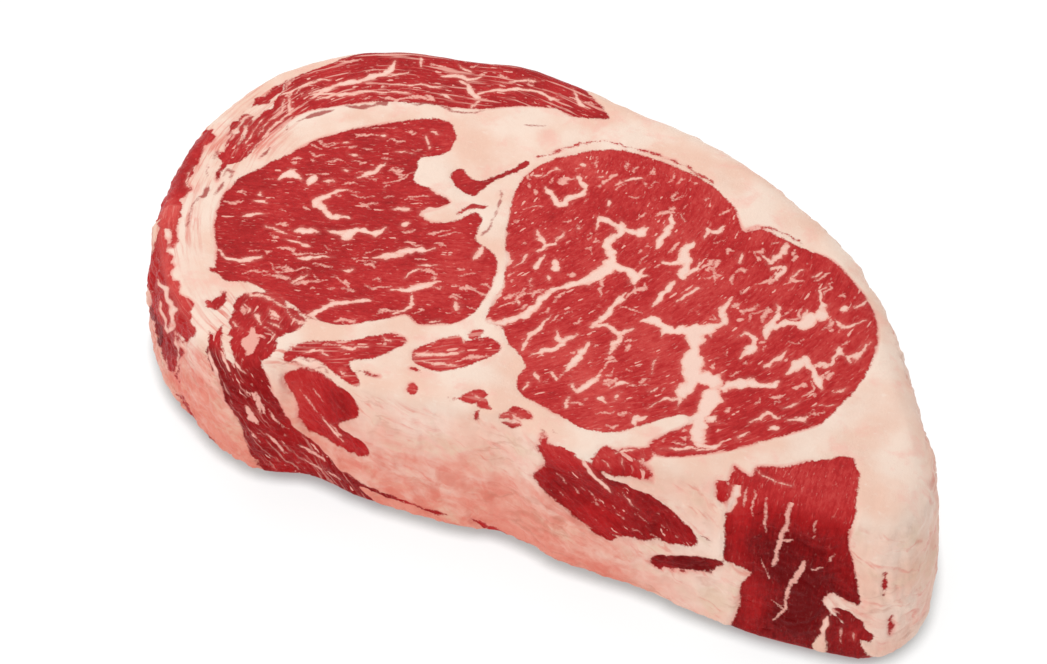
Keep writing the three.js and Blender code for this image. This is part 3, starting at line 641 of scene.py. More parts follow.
SCRAPS = [
    (3.4, -92.2, 29.6, -93.6, 27, -94.8, 24.6), (1.3, -94.8, 24, -95.8, 20.4),
    (1.0, -91.4, 33.8, -92.2, 30.8), (1.6, -95.6, 17.2, -96.2, 13, -96.8, 9.4),
    (1.5, -94.4, 17.2, -94.2, 13, -94, 9), (2.8, -94.6, 8.6, -94.6, 5, -94.8, 1.4),
    (1.3, -93.4, 2, -92.8, -3, -92.6, -8), (2.4, -101.8, 10, -102.2, 6.6),
    (4.8, -102.6, 6.6, -102.8, 0, -102.2, -5, -101.2, -10), (4.8, -101.2, -10, -100.4, -15, -99.4, -19),
    (5.0, -99.4, -19, -98, -23, -97, -26), (1.4, -95.8, -25.6, -94, -30, -92.4, -34),
    (4.6, -96.4, -32.4, -93, -38.8, -89.4, -44.8, -85.8, -50.4),
    (2.4, -95.4, -38.8, -92, -45, -88.4, -50.4, -84.8, -55.6),
    (4.6, -91, -42, -86, -48, -80.6, -53.6, -77.2, -58), (3.6, -88, -50, -84.6, -56, -81.6, -60.4),
    (3.4, -76, -57.6, -75, -62), (4.4, -80.8, -60, -77.8, -64.6, -75, -69),
    (2.4, -75, -68.8, -72.8, -71.4), (0.8, -72, -69, -70, -74), (1.1, -69, -77.8, -65, -80.2),
    (1.7, -80, -38.2, -76, -38.6), (3.0, -63, -40, -57, -41.4), (3.6, -73, -43.8, -73.4, -47.6),
    (2.6, -76, -47.6, -72, -49.6), (5.6, -56.4, -45.4, -53, -47.4), (4.2, -55, -50.4, -54, -46.6),
    (3.4, -61, -44.2, -55.4, -44.6), (1.7, -71.2, -56, -68.6, -60, -66, -63.6),
    (3.0, -67.4, -61.6, -64.6, -65.6, -62.4, -69), (3.8, -9, -36.2, -8, -33.8),
    (2.6, -7, -36, -4, -35.4), (2.8, -32.6, -51, -30.4, -51.6), (1.3, -20, -51, -17.6, -51.6),
    (3.4, -18, -56.6, -16.2, -57.6), (3.2, -3, -54.8, 0.4, -52.8), (2.8, -0.4, -55, 2.6, -56),
    (1.5, 1, -57.4, 0.8, -60.4), (1.2, -5.4, -56.2, -3, -55), (3.2, 6, -57.2, 9, -55.4, 12, -55),
    (2.6, 6.8, -58.6, 10.2, -58.2), (1.3, 16.4, -59.4, 18.4, -62, 20.6, -64.6),
    (4.8, 36, -58.4, 39.6, -57, 42, -58.4), (1.8, -28.6, 2, -25.4, 5.4, -22.6, 7),
    (1.4, -30.2, -56.8, -26, -56.6), (0.5, -16, 29, -12, 34, -7, 37.8, -2, 40.2, 5, 41.4),
    (0.5, 5, 41.4, 11, 41.2, 18, 39.9, 25, 37.6, 31, 35),
    (0.5, 43, 21.7, 45, 23.7, 49, 24.3, 54, 23.3, 59, 21.6),
    (3.8, -67.6, -42.2, -62, -42.2, -56, -43.8, -51.8, -46.2),
    (3.2, -53.6, -48.6, -54.9, -53, -55.2, -58, -55.4, -61),
    (5.4, -105.6, 11, -106.4, 4, -106.4, -3, -105.4, -10, -104, -16, -102.4, -22, -101, -27),
]
PALE_SPOTS = [
    (3.4, -61.2, -52.6, -60.4, -56, -58.6, -59.8), (0.9, -66.4, -45.6, -64.4, -48.4),
    (0.8, -58.4, -46, -55.6, -47.4),
]
THREADS = [
    (0.8, -77, -41, -70, -41.8, -65, -41.4, -60, -41.6),
    (0.7, -60, -41.6, -56, -43, -52.6, -45.8, -50.4, -46.8),
    (0.9, -50.4, -46.8, -46, -45.4, -40, -45.2), (1.1, -66, -45, -64, -47.6),
    (1.4, -62, -47, -59.4, -50.2), (1.1, -60, -44.6, -56, -46.2), (0.9, -58, -48.2, -54, -49),
    (0.9, -57, -50.8, -53.6, -52.4), (0.8, -66.6, -51.4, -64, -53.2),
    (1.2, -89.8, -44.6, -86, -49, -82, -54, -79.8, -59.4), (0.8, -86.6, -51.6, -83, -57, -80, -60.4),
    (0.8, -77.8, -61.4, -75, -66, -72.4, -70), (0.8, -100.8, -5, -99, -11, -97.6, -15),
    (0.6, -95.2, 18, -95.1, 12, -95.5, 9.4), (0.5, -88.2, 27, -88, 20, -89, 12),
    (0.5, -85.6, 25, -86, 17, -87, 9), (0.5, -90.6, 18, -91.4, 10, -91, 6), (0.5, -93.5, 15, -93.4, 6),
    (0.7, -84.6, 30, -81.4, 34, -77, 37), (0.8, -80, 30.6, -75, 34.6, -70, 36.6),
    (1.0, -20.6, -45.9, -15, -44.7, -11, -43.5, -9.2, -41.8),
    (0.9, -19.8, -48.2, -14, -47.6, -10, -46.6), (1.3, -11.4, -36.2, -10.2, -39),
    (0.9, -30.6, -44.4, -27.6, -45.4), (0.8, -41, -50.4, -36, -50, -33, -48.2),
    (1.0, -46.4, -54.8, -43, -53.6, -39.6, -54.4), (0.9, -36, -56.6, -33, -58.6),
    (0.8, -3, -53.4, 0, -54.6), (0.7, 6.6, -56.6, 10.6, -56.6), (0.7, 6.4, -57.9, 11, -57.6),
    (0.8, 43.2, -54.8, 47, -53.4, 52, -51, 57, -49.6), (0.9, 34.6, -59, 37.4, -57, 39, -55.6),
    (0.8, 40.4, -57.4, 42, -60.4), (0.8, 36.6, -60.4, 38, -62),
    (0.5, 66.5, -52.5, 70, -53.4, 75, -53.6),
]


# %% Strokes stamped into distance maps
REACH = 4
TAPER = 2.4
TOUCHING = 1.3
UNEVEN_WIDTH = 0.2
UNEVEN_WAY = 0.16
MAP_STEP = 0.25


def free_end(number, end, everywhere, owners):
    """Whether a stroke's end touches no other stroke."""
    near = np.hypot(*(everywhere - end).T) < TOUCHING
    return not (near & (owners != number)).any()


def around(target, a, b):
    """The part of a map within reach of the segment a-b."""
    low = np.floor((np.minimum(a, b) - REACH - target.low) / target.step).astype(int)
    high = np.ceil((np.maximum(a, b) + REACH - target.low) / target.step).astype(int)
    return slice(max(low[0], 0), high[0] + 1), slice(max(low[1], 0), high[1] + 1)


def stamp(target, strokes, seed):
    """Lays uneven strokes into a map, positive inside. They taper where they touch no other."""
    dice = np.random.default_rng(seed)
    gx, gy = target.corners()
    all_points = [smooth_path(np.reshape(numbers, (-1, 2)), 4, closed=False) for _, *numbers in strokes]
    everywhere = np.vstack(all_points)
    owners = np.repeat(np.arange(len(strokes)), [len(points) for points in all_points])
    for number, (width, *_) in enumerate(strokes):
        path = all_points[number].copy()
        travelled = np.concatenate([[0], np.cumsum(np.linalg.norm(np.diff(path, axis=0), axis=1))])
        half = np.full(len(path), 0.5 * width)
        half *= 1 + dice.normal(0, UNEVEN_WIDTH, len(path))
        for end, way in ((path[0], travelled), (path[-1], travelled[-1] - travelled)):
            if free_end(number, end, everywhere, owners):
                half *= 0.3 + 0.7 * np.clip(way / min(TAPER, 0.6 * travelled[-1]), 0, 1)
        path[1:-1] += dice.normal(0, UNEVEN_WAY, (len(path) - 2, 2))
        for k in range(len(path) - 1):
            here = around(target, path[k], path[k + 1])
            distance, along = to_segment(gx[here], gy[here], path[k], path[k + 1])
            inside = half[k] + along * (half[k + 1] - half[k]) - distance
            target.grid[here] = np.maximum(target.grid[here], inside)
    return target


def top_map():
    return DistanceMap((-114, -86), (114, 72), MAP_STEP, -REACH)


def front_map():
    return DistanceMap((-100, -4), (112, 54), MAP_STEP, -REACH)


def end_map():
    return DistanceMap((-64, -4), (34, 52), MAP_STEP, -REACH)


ALL_SEAMS = EYE_SEAMS + EYE_LEFT_SEAMS + LEFT_SEAMS + BAND_SEAMS
seam_map = stamp(top_map(), ALL_SEAMS, 5)
vein_map = stamp(top_map(), VEINS, 6)
scrap_map = stamp(top_map(), SCRAPS, 7)
thread_map = stamp(top_map(), THREADS, 15)
pale_map = stamp(top_map(), PALE_SPOTS, 17)
patch_map = stamp(top_map(), FAT_PATCHES, 16)
print("strokes:", sum(map(len, (ALL_SEAMS, VEINS, SCRAPS, THREADS, PALE_SPOTS, FAT_PATCHES))))

# %% Seams and scraps that show on the long side: width, then x, z, x, z ...
FRONT_SEAMS = [
    (2.6, 64.4, 53, 63.8, 47, 63, 41), (1.6, 89.8, 12, 89.6, 6, 89.9, -2), (0.6, 96.6, 8.6, 97, 5),
    (1.2, 24.8, 50, 27, 44.6, 30, 40.2, 33, 37.6, 34.4, 35.4), (0.5, 37, 37, 39.6, 33.6, 42, 31.6),
    (1.1, -63.6, 50, -62.6, 46, -61, 42.6, -59.6, 41), (1.0, -66, 50, -64.6, 44, -64, 40),
    (1.1, -68.8, 46, -68.4, 40, -67.6, 35), (0.9, -39.8, 32, -37, 27.8),
    (0.7, -37.8, 30.6, -35.6, 27.8), (0.8, -36.6, 27.4, -34.6, 24.8), (0.5, 32, 47.6, 34, 44.4),
]
FRONT_PALE = [
    (0.9, 77.6, 53, 76.4, 46.4, 77, 42, 75.8, 37, 75.6, 33, 75, 25),
    (1.6, 82.2, 31, 81.6, 27, 80.6, 22), (1.0, 80.6, 22, 79.6, 16),
    (0.7, 79.6, 16, 79.4, 11, 78.2, 7, 76.6, 4), (0.6, 66.6, 52, 66.6, 44), (0.5, 68.6, 52, 68.8, 42),
    (0.7, 71.6, 50, 72.2, 37), (0.4, 83.4, 47, 83, 40), (0.8, 76.6, 36.4, 79, 37.4),
    (1.0, 84, 28, 86.6, 30), (0.6, 88.4, 37, 87.8, 33), (0.5, 74.6, 20, 72, 27),
    (0.6, 76, 12, 78.6, 9.6), (0.5, 90.6, 16, 93, 14), (1.0, 91, 15, 90.4, 12.6), (0.5, 93.6, 9, 94, 3),
    (0.5, 41.6, 30, 44.6, 27.6), (0.4, 21, 37, 23.4, 34), (0.4, 25, 34, 27, 31.4),
    (0.5, 29, 34, 31, 31), (0.5, 39, 24.4, 43, 23), (0.5, 44.6, 24, 47, 22.6),
    (0.4, 36, 28.6, 38, 26.4), (0.5, 22, 30, 24, 28), (0.4, 47.6, 29, 49.6, 27),
    (0.4, 31, 30, 33, 27.6), (1.4, -57.6, 35, -57, 31, -56, 27.6), (2.0, -61, 28.6, -59.8, 25, -58, 22),
    (1.0, -58.6, 34, -57.6, 30, -57.4, 27), (1.2, -56, 19, -53, 16, -51.6, 13.6),
    (0.9, -54.6, 30, -53.4, 26.6, -49.6, 24.2), (0.9, -48, 18.4, -43, 16.6, -40, 14.6),
    (0.8, -46, 13.4, -41.6, 11), (0.8, -61, 19, -58.6, 15), (0.7, -40, 11, -36.6, 9.4),
    (0.5, -45.4, 41, -42, 36, -38.6, 30.6), (0.4, -42, 43.6, -39, 38.6),
]
FRONT_SCRAPS = [
    (1.2, -32, 9.6, -27, 8.6, -20, 7.6, -8, 7.2), (3.6, -44, 13, -38, 11.4, -33, 9.6),
    (1.9, -1, 8.6, 3, 7.6, 8, 6.2), (1.0, 8, 6.2, 16, 5), (2.6, 60.8, 53, 61.2, 47, 61.6, 44),
    (1.0, 100.8, 35, 101.2, 30, 101.4, 26), (1.0, 104.6, 20, 105, 12), (5.4, 21, 45, 24.4, 50),
    (3.6, 29.4, 46, 32.4, 51), (4.2, 30.6, 19, 36, 18.6), (2.6, 45.6, 12.4, 49.6, 14.2),
    (4.4, 50, 15, 55, 17, 59.4, 18.6), (2.6, 59.4, 18.8, 63.4, 20.8), (0.8, 50, 13, 51.4, 12),
    (0.9, 52.6, 14, 54, 12.8), (0.8, 56, 15, 57.2, 14), (0.8, 59, 16.6, 60.4, 15.6),
    (0.7, 47.4, 12, 48.2, 11), (0.9, -79.8, 25, -77.8, 19.6, -76.4, 15.6), (1.2, -74, 12, -71.6, 9.6),
    (1.8, -56.6, 11, -55, 7.4, -54.4, 5), (0.8, 57, 29, 59.6, 28), (2.6, -57, 7.6, -53, 6.6),
    (4.2, 91.6, 15.6, 94.6, 13.4, 97.6, 10.2, 100.4, 6.6), (3.6, 92.6, 10.6, 95.6, 7.6, 98.2, 4),
    (2.6, 92.6, 6, 93.8, 2, 97, 1.4),
]
front_seam_map = stamp(front_map(), FRONT_SEAMS, 8)
front_scrap_map = stamp(front_map(), FRONT_SCRAPS, 9)
front_pale_map = stamp(front_map(), FRONT_PALE, 18)

# %% Seams and scraps that show on the left end: width, then y, z, y, z ...
END_SEAMS = [(0.9, -15, 20, -13.6, 10, -14, 4), (0.7, 8, 36, 4, 31, 1, 24), (0.8, -18, 27, -16, 18)]
END_SCRAPS = [
    (5.4, 14, 38, 9, 37.4, 6, 34, 5, 30), (2.6, 18, 38.6, 14, 38.4), (5.2, 0.4, 35.4, -3, 32, -4.6, 29),
    (4.6, -1.4, 30, -3.4, 26), (1.8, -4, 24, -6, 18.6), (1.4, 12, 22.6, 8, 20, 4.6, 15),
    (4.0, 26, 30, 21, 29.6), (2.6, 24, 24, 19.6, 20), (1.6, 18, 18, 15.4, 16.6),
]
end_seam_map = stamp(end_map(), END_SEAMS, 11)
end_scrap_map = stamp(end_map(), END_SCRAPS, 12)
WALL_STROKES = (FRONT_SEAMS, FRONT_SCRAPS, FRONT_PALE, END_SEAMS, END_SCRAPS)
print("strokes on the walls:", sum(map(len, WALL_STROKES)))

# %% [markdown]
# ## What the surface knows
# Each point of the skin carries a few values that the relief and the finish read: how deep it lies in
# lean, in a seam and in a vein, which way the fibres run there, how dark the lean is, how flushed the
# fat is and how many flecks belong there. They are attributes of the mesh, so they survive any render.

# %% Fibre direction of each muscle: pivot x, y, angle there, and its change per millimetre up
GRAIN = {
    "eye_muscle": (34, -8, 60, 0.42),
    "large_left_muscle": (-52, -6, 14, 0.1),
    "comma_muscle": (-28, 14, 40, 0),
    "rib_left_muscle": (-38, -50, 20, 0),
    "rib_middle_muscle": (-12, -43, 25, 0),
    "rib_edge_muscle": (37, -60, -20, 0),
}
SIDE_GRAIN = {
    "chain_muscle": -64, "corner_muscle": -88, "side_oval_muscle": -60, "side_diamond_muscle": -46,
    "side_slit_muscle": 20,
}
TOP_TONES = {
    "eye_muscle": 0.02, "large_left_muscle": 0.2, "outer_band_muscle": 0.24, "comma_muscle": 0.26,
    "rib_left_muscle": 0.1, "rib_middle_muscle": 0.05, "rib_edge_muscle": 0.1, "chain_muscle": 0.2,
    "corner_muscle": 0.12, "side_oval_muscle": 0.1, "side_diamond_muscle": 0.1, "side_slit_muscle": 0.3,
    "end_strip_muscle": 0.0,
}
# Lean on the walls is darker than on the upper face: partly its moist colour, partly painted shade.
SIDE_TONES_WITH_SHADE = {
    "eye_muscle": 0.3, "large_left_muscle": 0.3, "outer_band_muscle": 0.3, "comma_muscle": 0.4,
    "rib_left_muscle": 0.25, "rib_middle_muscle": 0.3, "rib_edge_muscle": 0.25, "chain_muscle": 0.6,
    "corner_muscle": 0.8, "side_oval_muscle": 0.12, "side_diamond_muscle": 0.46,
    "side_slit_muscle": 0.8, "end_strip_muscle": 0.3,
}
LEAN_TONES = [
    (12, 2, 20, 0.1), (30, -34, 16, -0.06), (62, -40, 14, 0.08), (68, 4, 20, 0.08),
    (-20, -18, 14, -0.1), (-82, -22, 14, 0.05), (-60, 22, 14, 0.06),
]
FLECKS = {
    "eye_muscle": 0.1, "large_left_muscle": 0.05, "outer_band_muscle": 0.25, "comma_muscle": -1.0,
    "rib_left_muscle": 0.15, "rib_middle_muscle": 0.25, "rib_edge_muscle": 0.4, "chain_muscle": 0.2,
    "corner_muscle": -1.6, "side_oval_muscle": -1.6, "side_diamond_muscle": 0.0,
    "side_slit_muscle": -1.6, "end_strip_muscle": -1.6,
}
STRANDS = {
    "outer_band_muscle": 0.75, "end_strip_muscle": 0.25, "chain_muscle": 0.4, "rib_left_muscle": 0.5,
    "rib_middle_muscle": 0.5,
}
GRAIN_DOWN = 0.45


def nearest_rim(x, y):
    """Arc length, distance inside, and outward direction at the nearest point of the rim."""
    coarse, normals = rim[::EVERY_THIRD], rim_normal[::EVERY_THIRD]
    steps = np.linalg.norm(np.roll(coarse, -1, 0) - coarse, axis=1)
    arc = np.concatenate([[0], np.cumsum(steps)[:-1]])
    best, span, share = np.full(x.shape, 1e9), np.zeros(x.shape, int), np.zeros(x.shape)
    for k, (a, b) in enumerate(zip(coarse, np.roll(coarse, -1, 0))):
        distance, along = to_segment(x, y, a, b)
        closer = distance < best
        best = np.where(closer, distance, best)
        span = np.where(closer, k, span)
        share = np.where(closer, along, share)
    out = normals[span]
    outside = (x - coarse[span, 0]) * out[:, 0] + (y - coarse[span, 1]) * out[:, 1] > 0
    return arc[span] + share * steps[span], np.where(outside, -best, best), out


def grain_of(name, x, y, z):
    """Millimetres along the fibres, across them and down through the steak."""
    if name in GRAIN:
        cx, cy, angle, change = GRAIN[name]
        turn = np.radians(angle + change * (y - cy))
        c, s = np.cos(turn), np.sin(turn)
        return np.stack([(x - cx) * c + (y - cy) * s, (y - cy) * c - (x - cx) * s, z * GRAIN_DOWN], 1)
    turn = math.radians(SIDE_GRAIN[name])
    c, s = math.cos(turn), math.sin(turn)
    return np.stack([x * c + z * s, z * c - x * s, y], 1)


# %% Short flecks of fat, scattered along the fibres
SCATTER = {
    "eye_muscle": (380, 2.3, 0.62, 24), "large_left_muscle": (280, 2.7, 0.5, 14),
    "outer_band_muscle": (130, 3.0, 0.7, 14), "rib_left_muscle": (13, 2.2, 0.7, 20),
    "rib_middle_muscle": (10, 2.2, 0.7, 20), "chain_muscle": (7, 2.6, 0.8, 20),
}
INSIDE_THE_LEAN = 0.8
CLEAR_OF_SEAMS = -0.9


def fibre_direction(name, x, y):
    """Direction of the fibres on the upper face, in radians."""
    if name in GRAIN:
        _, cy, angle, change = GRAIN[name]
        return math.radians(angle + change * (y - cy))
    spot = np.argmin(np.hypot(rim[:, 0] - x, rim[:, 1] - y))
    ahead = rim[(spot + 1) % len(rim)] - rim[spot]
    return math.atan2(ahead[1], ahead[0])


def scattered(name, count, length, width, spread, seed):
    """Short strokes at random inside a muscle: `length`, `width` in millimetres, `spread` in degrees."""
    dice = np.random.default_rng(seed)
    low, high = np.min(THROUGH[name][0], axis=0), np.max(THROUGH[name][0], axis=0)
    strokes = []
    for _ in range(count):
        x, y = dice.uniform(low, high)
        turn = fibre_direction(name, x, y) + math.radians(dice.normal(0, spread))
        reach = 0.5 * length * dice.lognormal(0, 0.5)
        bend = dice.normal(0, 0.25) * reach
        spot = np.array([x]), np.array([y])
        if outline_maps[name].read(*spot)[0] < INSIDE_THE_LEAN or seam_map.read(*spot)[0] > CLEAR_OF_SEAMS:
            continue
        c, s = math.cos(turn), math.sin(turn)
        ends = x - c * reach, y - s * reach, x - s * bend, y + c * bend, x + c * reach, y + s * reach
        strokes.append((width * dice.uniform(0.65, 1.5), *ends))
    return strokes


flecks = []
for number, (name, (count, length, width, spread)) in enumerate(SCATTER.items()):
    flecks += scattered(name, count, length, width, spread, 40 + number)
fleck_map = stamp(top_map(), flecks, 8)
print("flecks:", len(flecks))


# %% Where a point meets the flat sheets on which the marks are drawn
VIEWER = np.array(camera.location) / MM + [*MIDDLE, 0]
TOWARDS_VIEWER = np.array([math.sin(CAMERA_TURN), -math.cos(CAMERA_TURN)])
FRONT_SHEET = -61


def in_line(points, axis, level):
    """Follows the line from the buyer's eye through each point to the plane at this level of the axis."""
    reach = (level - VIEWER[axis]) / (points[:, axis] - VIEWER[axis])
    return VIEWER + (points - VIEWER) * reach[:, None]


def eased(value, low, high):
    share = np.clip((value - low) / (high - low), 0, 1)
    return share * share * (3 - 2 * share)


# %% Places that are darker or lighter, and places with fibrous fat: where, how wide, how much
# The lighter places at the left end are painted light, on lean that the lamps reach at a grazing angle.
TOP_SPOTS_WITH_LIGHT = [
    (-78, -65.4, 4, 0.2), (-93, -41, 8, -0.3), (-102, 0, 7, -0.1), (-76, -58, 5, -0.2),
    (-88, -57, 7, -0.25), (-99, -24, 7, -0.3),
]
FRONT_SPOTS = [
    (-35, 41, 4, 6, 0.4), (-47, 36, 3.4, 7, -0.35), (-31, 24, 3, 4, -0.1), (22, 44, 5, 6, -0.35),
    (31, 24, 5, 6, -0.3), (-50, 14, 9, 7, -0.25), (-54, 7, 4, 3, -0.3), (65.6, 36, 3, 20, -0.5),
    (71.4, 8, 3.6, 14, -0.5), (92.5, 30, 3.6, 8, -0.25), (79, 30, 7, 12, 0.12), (83, 10, 4, 9, 0.2),
    (99, 8, 5, 6, -0.4), (77, 14, 4, 4, -0.15), (53, 11.4, 6, 2, -0.6), (4, 8, 4, 3, -0.3),
    (-44, 21, 6, 4, -0.1),
]
FIBROUS = [
    (-99, 0, 12, 20), (-95, -30, 8, 12), (-93, 32, 8, 10), (-50, -58, 6, 5), (-70, -52, 4, 10),
    (-84, -60, 12, 12), (-66, -70, 10, 10), (-88, 12, 6, 12),
]


# %% Which marks a point takes
SKIN_DEPTH = 12
LEAST_SIDE = 0.02
FRONT_FACING = -0.45
LEFT_FACING = -0.75
STRIP_CORNER = -24
STRIP_TOP = 46
DRAWN_ABOVE = 5
EDGE_HEIGHT = 2.5
TURNED_FROM_VIEWER = -0.25


def faces_of(y, z, inward, outwards, below_top, side):
    """Which points take the marks of the long side, of the left end and of the upper sheet."""
    near_wall = inward < SKIN_DEPTH
    on_wall = (side > LEAST_SIDE) & near_wall
    front = (outwards[:, 1] < FRONT_FACING) & on_wall
    left_end = (outwards[:, 0] < LEFT_FACING) & (y > STRIP_CORNER) & on_wall & (z < STRIP_TOP)
    seen = (outwards @ TOWARDS_VIEWER > TURNED_FROM_VIEWER) & near_wall
    shown = (z > DRAWN_ABOVE) & ((below_top < EDGE_HEIGHT) | seen)
    return front, left_end, shown


def added(marks, where, sheet_map, spot):
    """The marks together with those of one more sheet, where the points take them."""
    return np.where(where, np.maximum(marks, sheet_map.read(*spot)), marks)


# %% Marks read from the sheets
FRONT_WARP = 0.4
DROP_SHARE = 0.6
DEEPEST_DROP = 20


def marks_of(top_spot, front_spot, end_spot, faces, below_top):
    """Scraps, threads, pale lines, veins and patches of fat: distances, positive inside a mark."""
    front, left_end, shown = faces
    upper, long_side, end = warped(*top_spot), warped(*front_spot, FRONT_WARP), warped(*end_spot)
    drop = np.where(shown, 0, DROP_SHARE * np.clip(below_top, 0, DEEPEST_DROP))
    scraps = added(scrap_map.read(*upper) - drop, front, front_scrap_map, long_side)
    scraps = added(scraps, left_end, end_scrap_map, end)
    upper_maps = (thread_map, pale_map, vein_map, patch_map)
    threads, pale, vein, patch = (np.where(shown, one.read(*upper), -REACH) for one in upper_maps)
    threads = added(threads, front, front_seam_map, long_side)
    threads = added(threads, left_end, end_seam_map, end)
    return scraps, threads, added(pale, front, front_pale_map, long_side), vein, patch


# %% Flush of the fat
FLUSH_ENDS = 62
FLUSH_FADES = 40
RAW_CORNER = -74
RAW_WIDTH = 20


def flush_of(x, z, outwards, side):
    """How flushed the fat is: low on the walls, and most on the long side and its left corner."""
    low = 1 - z / THICKNESS
    towards_front = np.clip(-outwards[:, 1], 0, 1) * np.clip((FLUSH_ENDS - x) / FLUSH_FADES, 0, 1)
    raw_corner = np.exp(-(((x - RAW_CORNER) / RAW_WIDTH) ** 2)) * (outwards[:, 1] < 0)
    raw_corner = raw_corner * 0.5 * eased(low, 0.0, 0.75)
    return side * (0.12 + 0.14 * low + 1.1 * low * towards_front + raw_corner)


# %% What a point takes from its own muscle
SEAM_WANDER = 1.2
WANDER_LENGTH = 9


def muscle_values(points, names, owner, side, below_top, grain):
    """Seam, speck, tone, fleck and strand of each point's muscle. Turns `grain` its way as well."""
    x, y, z = points.T
    seam, speck = np.full((2, len(x)), -float(REACH))
    tone, fleck, strand = np.zeros((3, len(x)))
    wander = SEAM_WANDER * np.sin(x / WANDER_LENGTH + 1) * (THICKNESS - z) / THICKNESS
    deep = eased(below_top, 0.5, 5) * eased(z, 0.5, 3)
    deeper = eased(below_top, 1, 15) * eased(z, 0.5, 3)
    for k, name in enumerate(names):
        mine = owner == k
        if name in THROUGH:
            u, v = warped(*back_to_top(name, x[mine], y[mine], z[mine]))
            seam[mine] = seam_map.read(u + wander[mine], v + wander[mine])
            speck[mine] = fleck_map.read(u + wander[mine], v + wander[mine]) - side[mine]
        if name in GRAIN or name in SIDE_GRAIN:
            grain[mine] = grain_of(name, x[mine], y[mine], z[mine])
        # Down the wall the lean darkens to its side tone: partly its moist colour, partly painted shade.
        sinking_into_shade = deeper if name == "corner_muscle" else deep
        tone[mine] = TOP_TONES[name] + (SIDE_TONES_WITH_SHADE[name] - TOP_TONES[name]) * sinking_into_shade[mine]
        fleck[mine] = FLECKS[name]
        share = side[mine] if name == "chain_muscle" else 1 - 0.6 * side[mine]
        strand[mine] = STRANDS.get(name, 0) * share
    return seam, speck, tone, fleck, strand


# %% Darker and lighter places
SCRAP_TONE = 0.12


def soft_spot(u, v, spot):
    """A soft round or oval rise around a place: 1 in its middle, 0 far away."""
    middle_u, middle_v, wide, high = spot
    return np.exp(-(((u - middle_u) / wide) ** 2) - ((v - middle_v) / high) ** 2)


def stepped(tone, x, y, side, top_spot, front_spot, shown):
    """The tone with its darker and lighter places. The lighter ones at the left end are painted light."""
    for cx, cy, radius, step in LEAN_TONES:
        tone = tone + step * (1 - side) * soft_spot(x, y, (cx, cy, radius, radius))
    for cx, cy, radius, step in TOP_SPOTS_WITH_LIGHT:
        tone = tone + step * shown * soft_spot(*top_spot, (cx, cy, radius, radius))
    for *spot, step in FRONT_SPOTS:
        tone = tone + step * side * soft_spot(*front_spot, spot)
    return tone


# %% Values for every vertex
def skin_values(points):
    """All values of the skin at points in millimetres, in the outlines' own frame."""
    x, y, z = points.T
    arc, inward, outwards = nearest_rim(x, y)
    below_top = top_height(x, y) - z
    side = eased(below_top, 0.9, 4.5) * eased(z, 0.5, 3)
    faces = faces_of(y, z, inward, outwards, below_top, side)
    front, left_end, shown = faces
    sheet = in_line(points, 2, THICKNESS)
    top_spot = np.where(shown, sheet[:, 0], x), np.where(shown, sheet[:, 1], y)
    sheet = in_line(points, 1, FRONT_SHEET)
    front_spot = sheet[:, 0], sheet[:, 2]
    scraps, threads, pale, vein, patch = marks_of(top_spot, front_spot, (y, z), faces, below_top)

    rows = lean_of(x, y, z, inward)
    table = np.stack(list(rows.values()))
    owner, lean = table.argmax(0), table.max(0)
    lean = np.where(shown, np.minimum(lean, -patch), lean)
    turned_away = side * eased(-(outwards @ TOWARDS_VIEWER), 0.1, 0.45)
    lean = lean + FAR_WANDER * turned_away * far_unrest.read(0.7 * (x - y), 1.4 * z)

    grain = np.stack([arc, inward + side * z, z * GRAIN_DOWN], 1)
    seam, speck, tone, fleck, strand = muscle_values(points, list(rows), owner, side, below_top, grain)
    seam = seam - side * np.where(front, 1, 0.6)
    seam = np.where(scraps > -1, np.minimum(seam, -scraps), seam)
    tone = stepped(tone, x, y, side, top_spot, front_spot, shown)
    tone = np.where(left_end & (scraps > -1) & (lean < 0), SCRAP_TONE, tone)
    fibrous = np.zeros(x.shape)
    for spot in FIBROUS:
        fibrous = np.maximum(fibrous, shown * soft_spot(*top_spot, spot))
    return {
        "lean_mm": np.maximum(lean, scraps), "seam_mm": np.maximum(seam, threads),
        "speck_mm": np.maximum(speck, pale), "vein_mm": vein, "tone": tone, "fleck": fleck,
        "strand": strand, "flush": flush_of(x, z, outwards, side), "side": side,
        "fibrous": fibrous, "grain_mm": grain, "rim_mm": np.stack([arc, inward, z], 1),
    }


def write_values(mesh, scale):
    """Stores the values as attributes. `scale` turns the mesh's unit into millimetres."""
    points = np.zeros(len(mesh.vertices) * 3, np.float32)
    mesh.vertices.foreach_get("co", points)
    points = points.reshape(-1, 3).astype(float) * scale
    if scale != 1:
        points[:, :2] += MIDDLE
    for name, value in skin_values(points).items():
        kind = "FLOAT_VECTOR" if value.ndim == 2 else "FLOAT"
        slot = mesh.attributes.get(name) or mesh.attributes.new(name, kind, "POINT")
        slot.data.foreach_set("vector" if value.ndim == 2 else "value", value.astype(np.float32).ravel())


# %% [markdown]
# ## Node helpers
# Shader and geometry trees are both lists of nodes with links. One short function adds a node,
# sets it up and links what it is given, so that a tree reads like the sum it works out.

# %% Short names for nodes
def add(tree, kind, inputs=(), **settings):
    node = tree.nodes.new(kind)
    for key, value in settings.items():
        setattr(node, key, value)
    for key, value in dict(inputs).items():
        if isinstance(value, bpy.types.NodeSocket):
            tree.links.new(value, node.inputs[key])
        else:
            node.inputs[key].default_value = value
    return node


def calc(tree, operation, *values, clamp=False):
    inputs = dict(enumerate(values))
    return add(tree, "ShaderNodeMath", inputs, operation=operation, use_clamp=clamp).outputs[0]


def times(tree, first, second, clamp=False):
    return calc(tree, "MULTIPLY", first, second, clamp=clamp)


def plus(tree, first, second):
    return calc(tree, "ADD", first, second)


